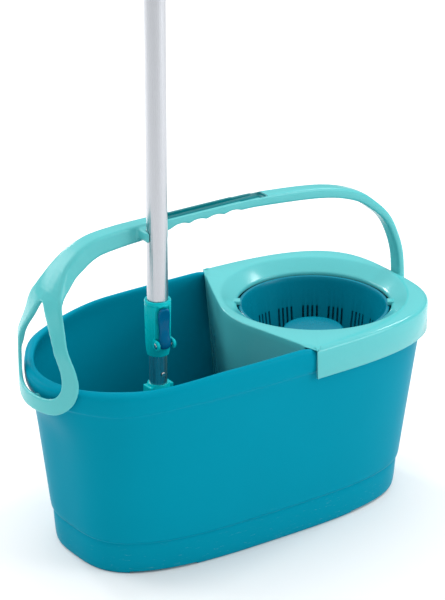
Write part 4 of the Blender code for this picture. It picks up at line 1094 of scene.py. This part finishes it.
def make_lever_pin():
    """The lever's pin, with a domed head outside each ear of the collar."""
    head = [(0.0020, 0.0117), (0.0031, 0.0118), (0.0033, 0.0121), (0.0026, 0.0126), (0.0010, 0.0128)]
    profile = [(radius, -along) for radius, along in reversed(head)] + head
    pin = along_pin(turned("lever_pin_headed", profile, 40))
    pin = add_object("lever_pin_headed", pin, POLE_FOOT, LEVER_YAW)
    stands_for(pin, "mop_pole", "steel", "lever_pin")


def make_lever():
    """The lock lever: a boss round the pin, a neck, and a dished thumb pad above it.

    A section is its height over the pin, half width, back, front and the dish's depth.
    """
    sections = [
        (-0.0052, 0.0030, 0.0160, 0.0200, 0.0),
        (-0.0046, 0.0052, 0.0150, 0.0212, 0.0),
        (-0.0024, 0.0068, 0.0138, 0.0226, 0.0),
        (0.0000, 0.0074, 0.0134, 0.0230, 0.0),
        (0.0035, 0.0072, 0.0134, 0.0226, 0.0),
        (0.0075, 0.0066, 0.0134, 0.0214, 0.0002),
        (0.0120, 0.0060, 0.0136, 0.0200, 0.0006),
        (0.0180, 0.0061, 0.0136, 0.0189, 0.0012),
        (0.0240, 0.0067, 0.0136, 0.0186, 0.0016),
        (0.0310, 0.0074, 0.0136, 0.0186, 0.0018),
        (0.0360, 0.0073, 0.0136, 0.0192, 0.0014),
        (0.0400, 0.0064, 0.0138, 0.0199, 0.0006),
        (0.0424, 0.0046, 0.0142, 0.0198, 0.0),
        (0.0430, 0.0026, 0.0150, 0.0190, 0.0),
    ]
    rings = []
    for up, half, back, front, dish in sections:
        ring = []
        for k in range(32):
            angle = math.tau * k / 32
            sine = math.sin(angle)
            rounded = math.copysign(abs(sine) ** 0.7, sine)
            deep = between(back, front, 0.5 + 0.5 * rounded)
            if sine > 0:
                deep -= dish * sine ** 3
            ring.append(Vector((half * math.cos(angle), -deep, LEVER_PIN.z + up)))
        rings.append(ring)
    body = loft("lever_body", rings, smooth_angle=70.0)
    lever = subdivide(add_object("lever_body", body, POLE_FOOT, LEVER_YAW))
    cut_pin_bore(lever)
    shade(lever.data, 50)
    stands_for(lever, "lever", "blue_plastic", "lock_lever")


# ------------ mop strands

def strand_path(radius, angle, length, sway, turn):
    """A strand's middle line: out of the ring, down, and in towards the bundle's foot."""
    points = []
    for k in range(25):
        t = k / 24
        belly = 0.06 * math.sin(math.pi * min(t * 2.2, 1.0))
        gathered = 1.0 + belly - 0.40 * smooth_step((t - 0.25) / 0.75)
        away = min(radius * gathered + 0.0012 * math.sin(9 * t + sway), STRAND_LIMIT)
        around = angle + 0.05 * t * math.sin(sway) + turn * t * t
        points.append(Vector((away * math.cos(around), away * math.sin(around), STRAND_TOP_Z - length * t)))
    return points


def add_strand(graph, path, phase):
    """A two-ply yarn along the path, with rounded ends."""
    sides = 10
    rings = []
    for k, point in enumerate(path):
        t = k / (len(path) - 1)
        across, out = across_path(path, k, (0.31, 0.95, 0.02))
        end = min(1.0, 0.35 + 7 * (1 - t), 0.6 + 9 * t)
        ring = []
        for n in range(sides):
            turn = math.tau * n / sides
            ply = 0.80 + 0.24 * abs(math.cos(turn - phase - STRAND_TWISTS * math.pi * t))
            size = STRAND_RADIUS * ply * end
            spot = point + across * (size * math.cos(turn)) + out * (size * math.sin(turn))
            ring.append(graph.verts.new(spot))
        rings.append(ring)
    for lower, upper in zip(rings, rings[1:]):
        for n in range(sides):
            after = (n + 1) % sides
            graph.faces.new((lower[n], lower[after], upper[after], upper[n]))
    graph.faces.new(rings[0])
    graph.faces.new(rings[-1])


def make_strands():
    chance = random.Random(11)
    graph = bmesh.new()
    longest = STRAND_TOP_Z - STRANDS_LOW.z - 0.0015
    for radius, count in STRAND_ROWS:
        for k in range(count):
            angle = math.tau * (k + chance.uniform(-0.2, 0.2)) / count
            length = longest * chance.uniform(0.88, 1.0)
            sway = chance.uniform(0, math.tau)
            turn = chance.uniform(-0.25, 0.25)
            path = strand_path(radius, angle, length, sway, turn)
            add_strand(graph, path, chance.uniform(0, math.pi))
    strands = add_object("strand_bundle", mesh_from("strand_bundle", graph, 80.0), POLE_FOOT)
    stands_for(strands, "mop_head", "microfibre", "mop_strands")


# ------------ camera, lights and floor

def aim(thing, target):
    """Points a camera or a light at the target."""
    thing.rotation_mode = "QUATERNION"
    thing.rotation_quaternion = (Vector(target) - thing.location).to_track_quat("-Z", "Y")


def make_camera():
    back = Vector((
        math.sin(CAMERA_AZIMUTH) * math.cos(CAMERA_ELEVATION),
        -math.cos(CAMERA_AZIMUTH) * math.cos(CAMERA_ELEVATION),
        math.sin(CAMERA_ELEVATION),
    ))
    place = CAMERA_TARGET + back * CAMERA_DISTANCE
    camera = add_object("camera", bpy.data.cameras.new("camera"), place)
    aim(camera, CAMERA_TARGET)
    rolled = Matrix.Rotation(CAMERA_ROLL, 3, back).to_quaternion()
    camera.rotation_quaternion = rolled @ camera.rotation_quaternion
    camera.data.lens = CAMERA_LENS
    camera.data.shift_x = CAMERA_SHIFT_X
    camera.data.shift_y = CAMERA_SHIFT_Y
    camera.data.clip_end = 50.0
    bpy.context.scene.camera = camera


def soft_light(name, place, size, power):
    """A rectangular light, in watts, that shines on the middle of the set."""
    light = bpy.data.lights.new(name, "AREA")
    light.shape = "RECTANGLE"
    light.size, light.size_y = size
    light.energy = power
    aim(add_object(name, light, place), (0.0, 0.0, 0.2))


def make_stage():
    """A white floor, an even sky that is brighter overhead, a key light and three glints."""
    graph = bmesh.new()
    bmesh.ops.create_grid(graph, x_segments=1, y_segments=1, size=FLOOR_HALF)
    floor = add_object("studio_floor", mesh_from("studio_floor", graph))
    paper, tree, shader, place = new_material("studio_paper")
    tone = mix_colours(tree, texture_noise(tree, place, 2.0), (0.93, 0.93, 0.93), (0.95, 0.95, 0.95))
    tree.links.new(tone, shader.inputs["Base Color"])
    shader.inputs["Roughness"].default_value = 0.9
    shader.inputs["Specular IOR Level"].default_value = 0.1
    floor.data.materials.append(paper)
    world = bpy.data.worlds.new("studio")
    world.use_nodes = True
    sky = world.node_tree
    direction = sky.nodes.new("ShaderNodeTexCoord").outputs["Generated"]
    height = sky.nodes.new("ShaderNodeSeparateXYZ")
    sky.links.new(direction, height.inputs[0])
    glow = map_range(sky, height.outputs["Z"], 0.0, 0.9, WORLD_AT_HORIZON, WORLD_OVERHEAD)
    sky.links.new(glow, sky.nodes["Background"].inputs["Strength"])
    sky.nodes["Background"].inputs["Color"].default_value = (1.0, 1.0, 1.0, 1.0)
    bpy.context.scene.world = world
    bpy.context.scene.view_settings.view_transform = "Standard"
    soft_light("key", (1.8, -2.2, 1.2), (1.4, 1.2), 25.0)
    soft_light("handle_glint", (-1.20, 1.85, 1.40), (1.20, 1.20), 16.0)
    soft_light("funnel_glint_left", (2.0, -0.10, 2.05), (0.50, 0.50), 14.0)
    soft_light("funnel_glint_right", (-0.10, 2.3, 1.40), (0.40, 0.40), 14.0)


# ------------ the set

make_camera()
make_stage()
paint_cad_nodes()
make_bucket()
make_insert()
make_basket()
make_handle()
make_collar()
make_lever_pin()
make_lever()
make_strands()
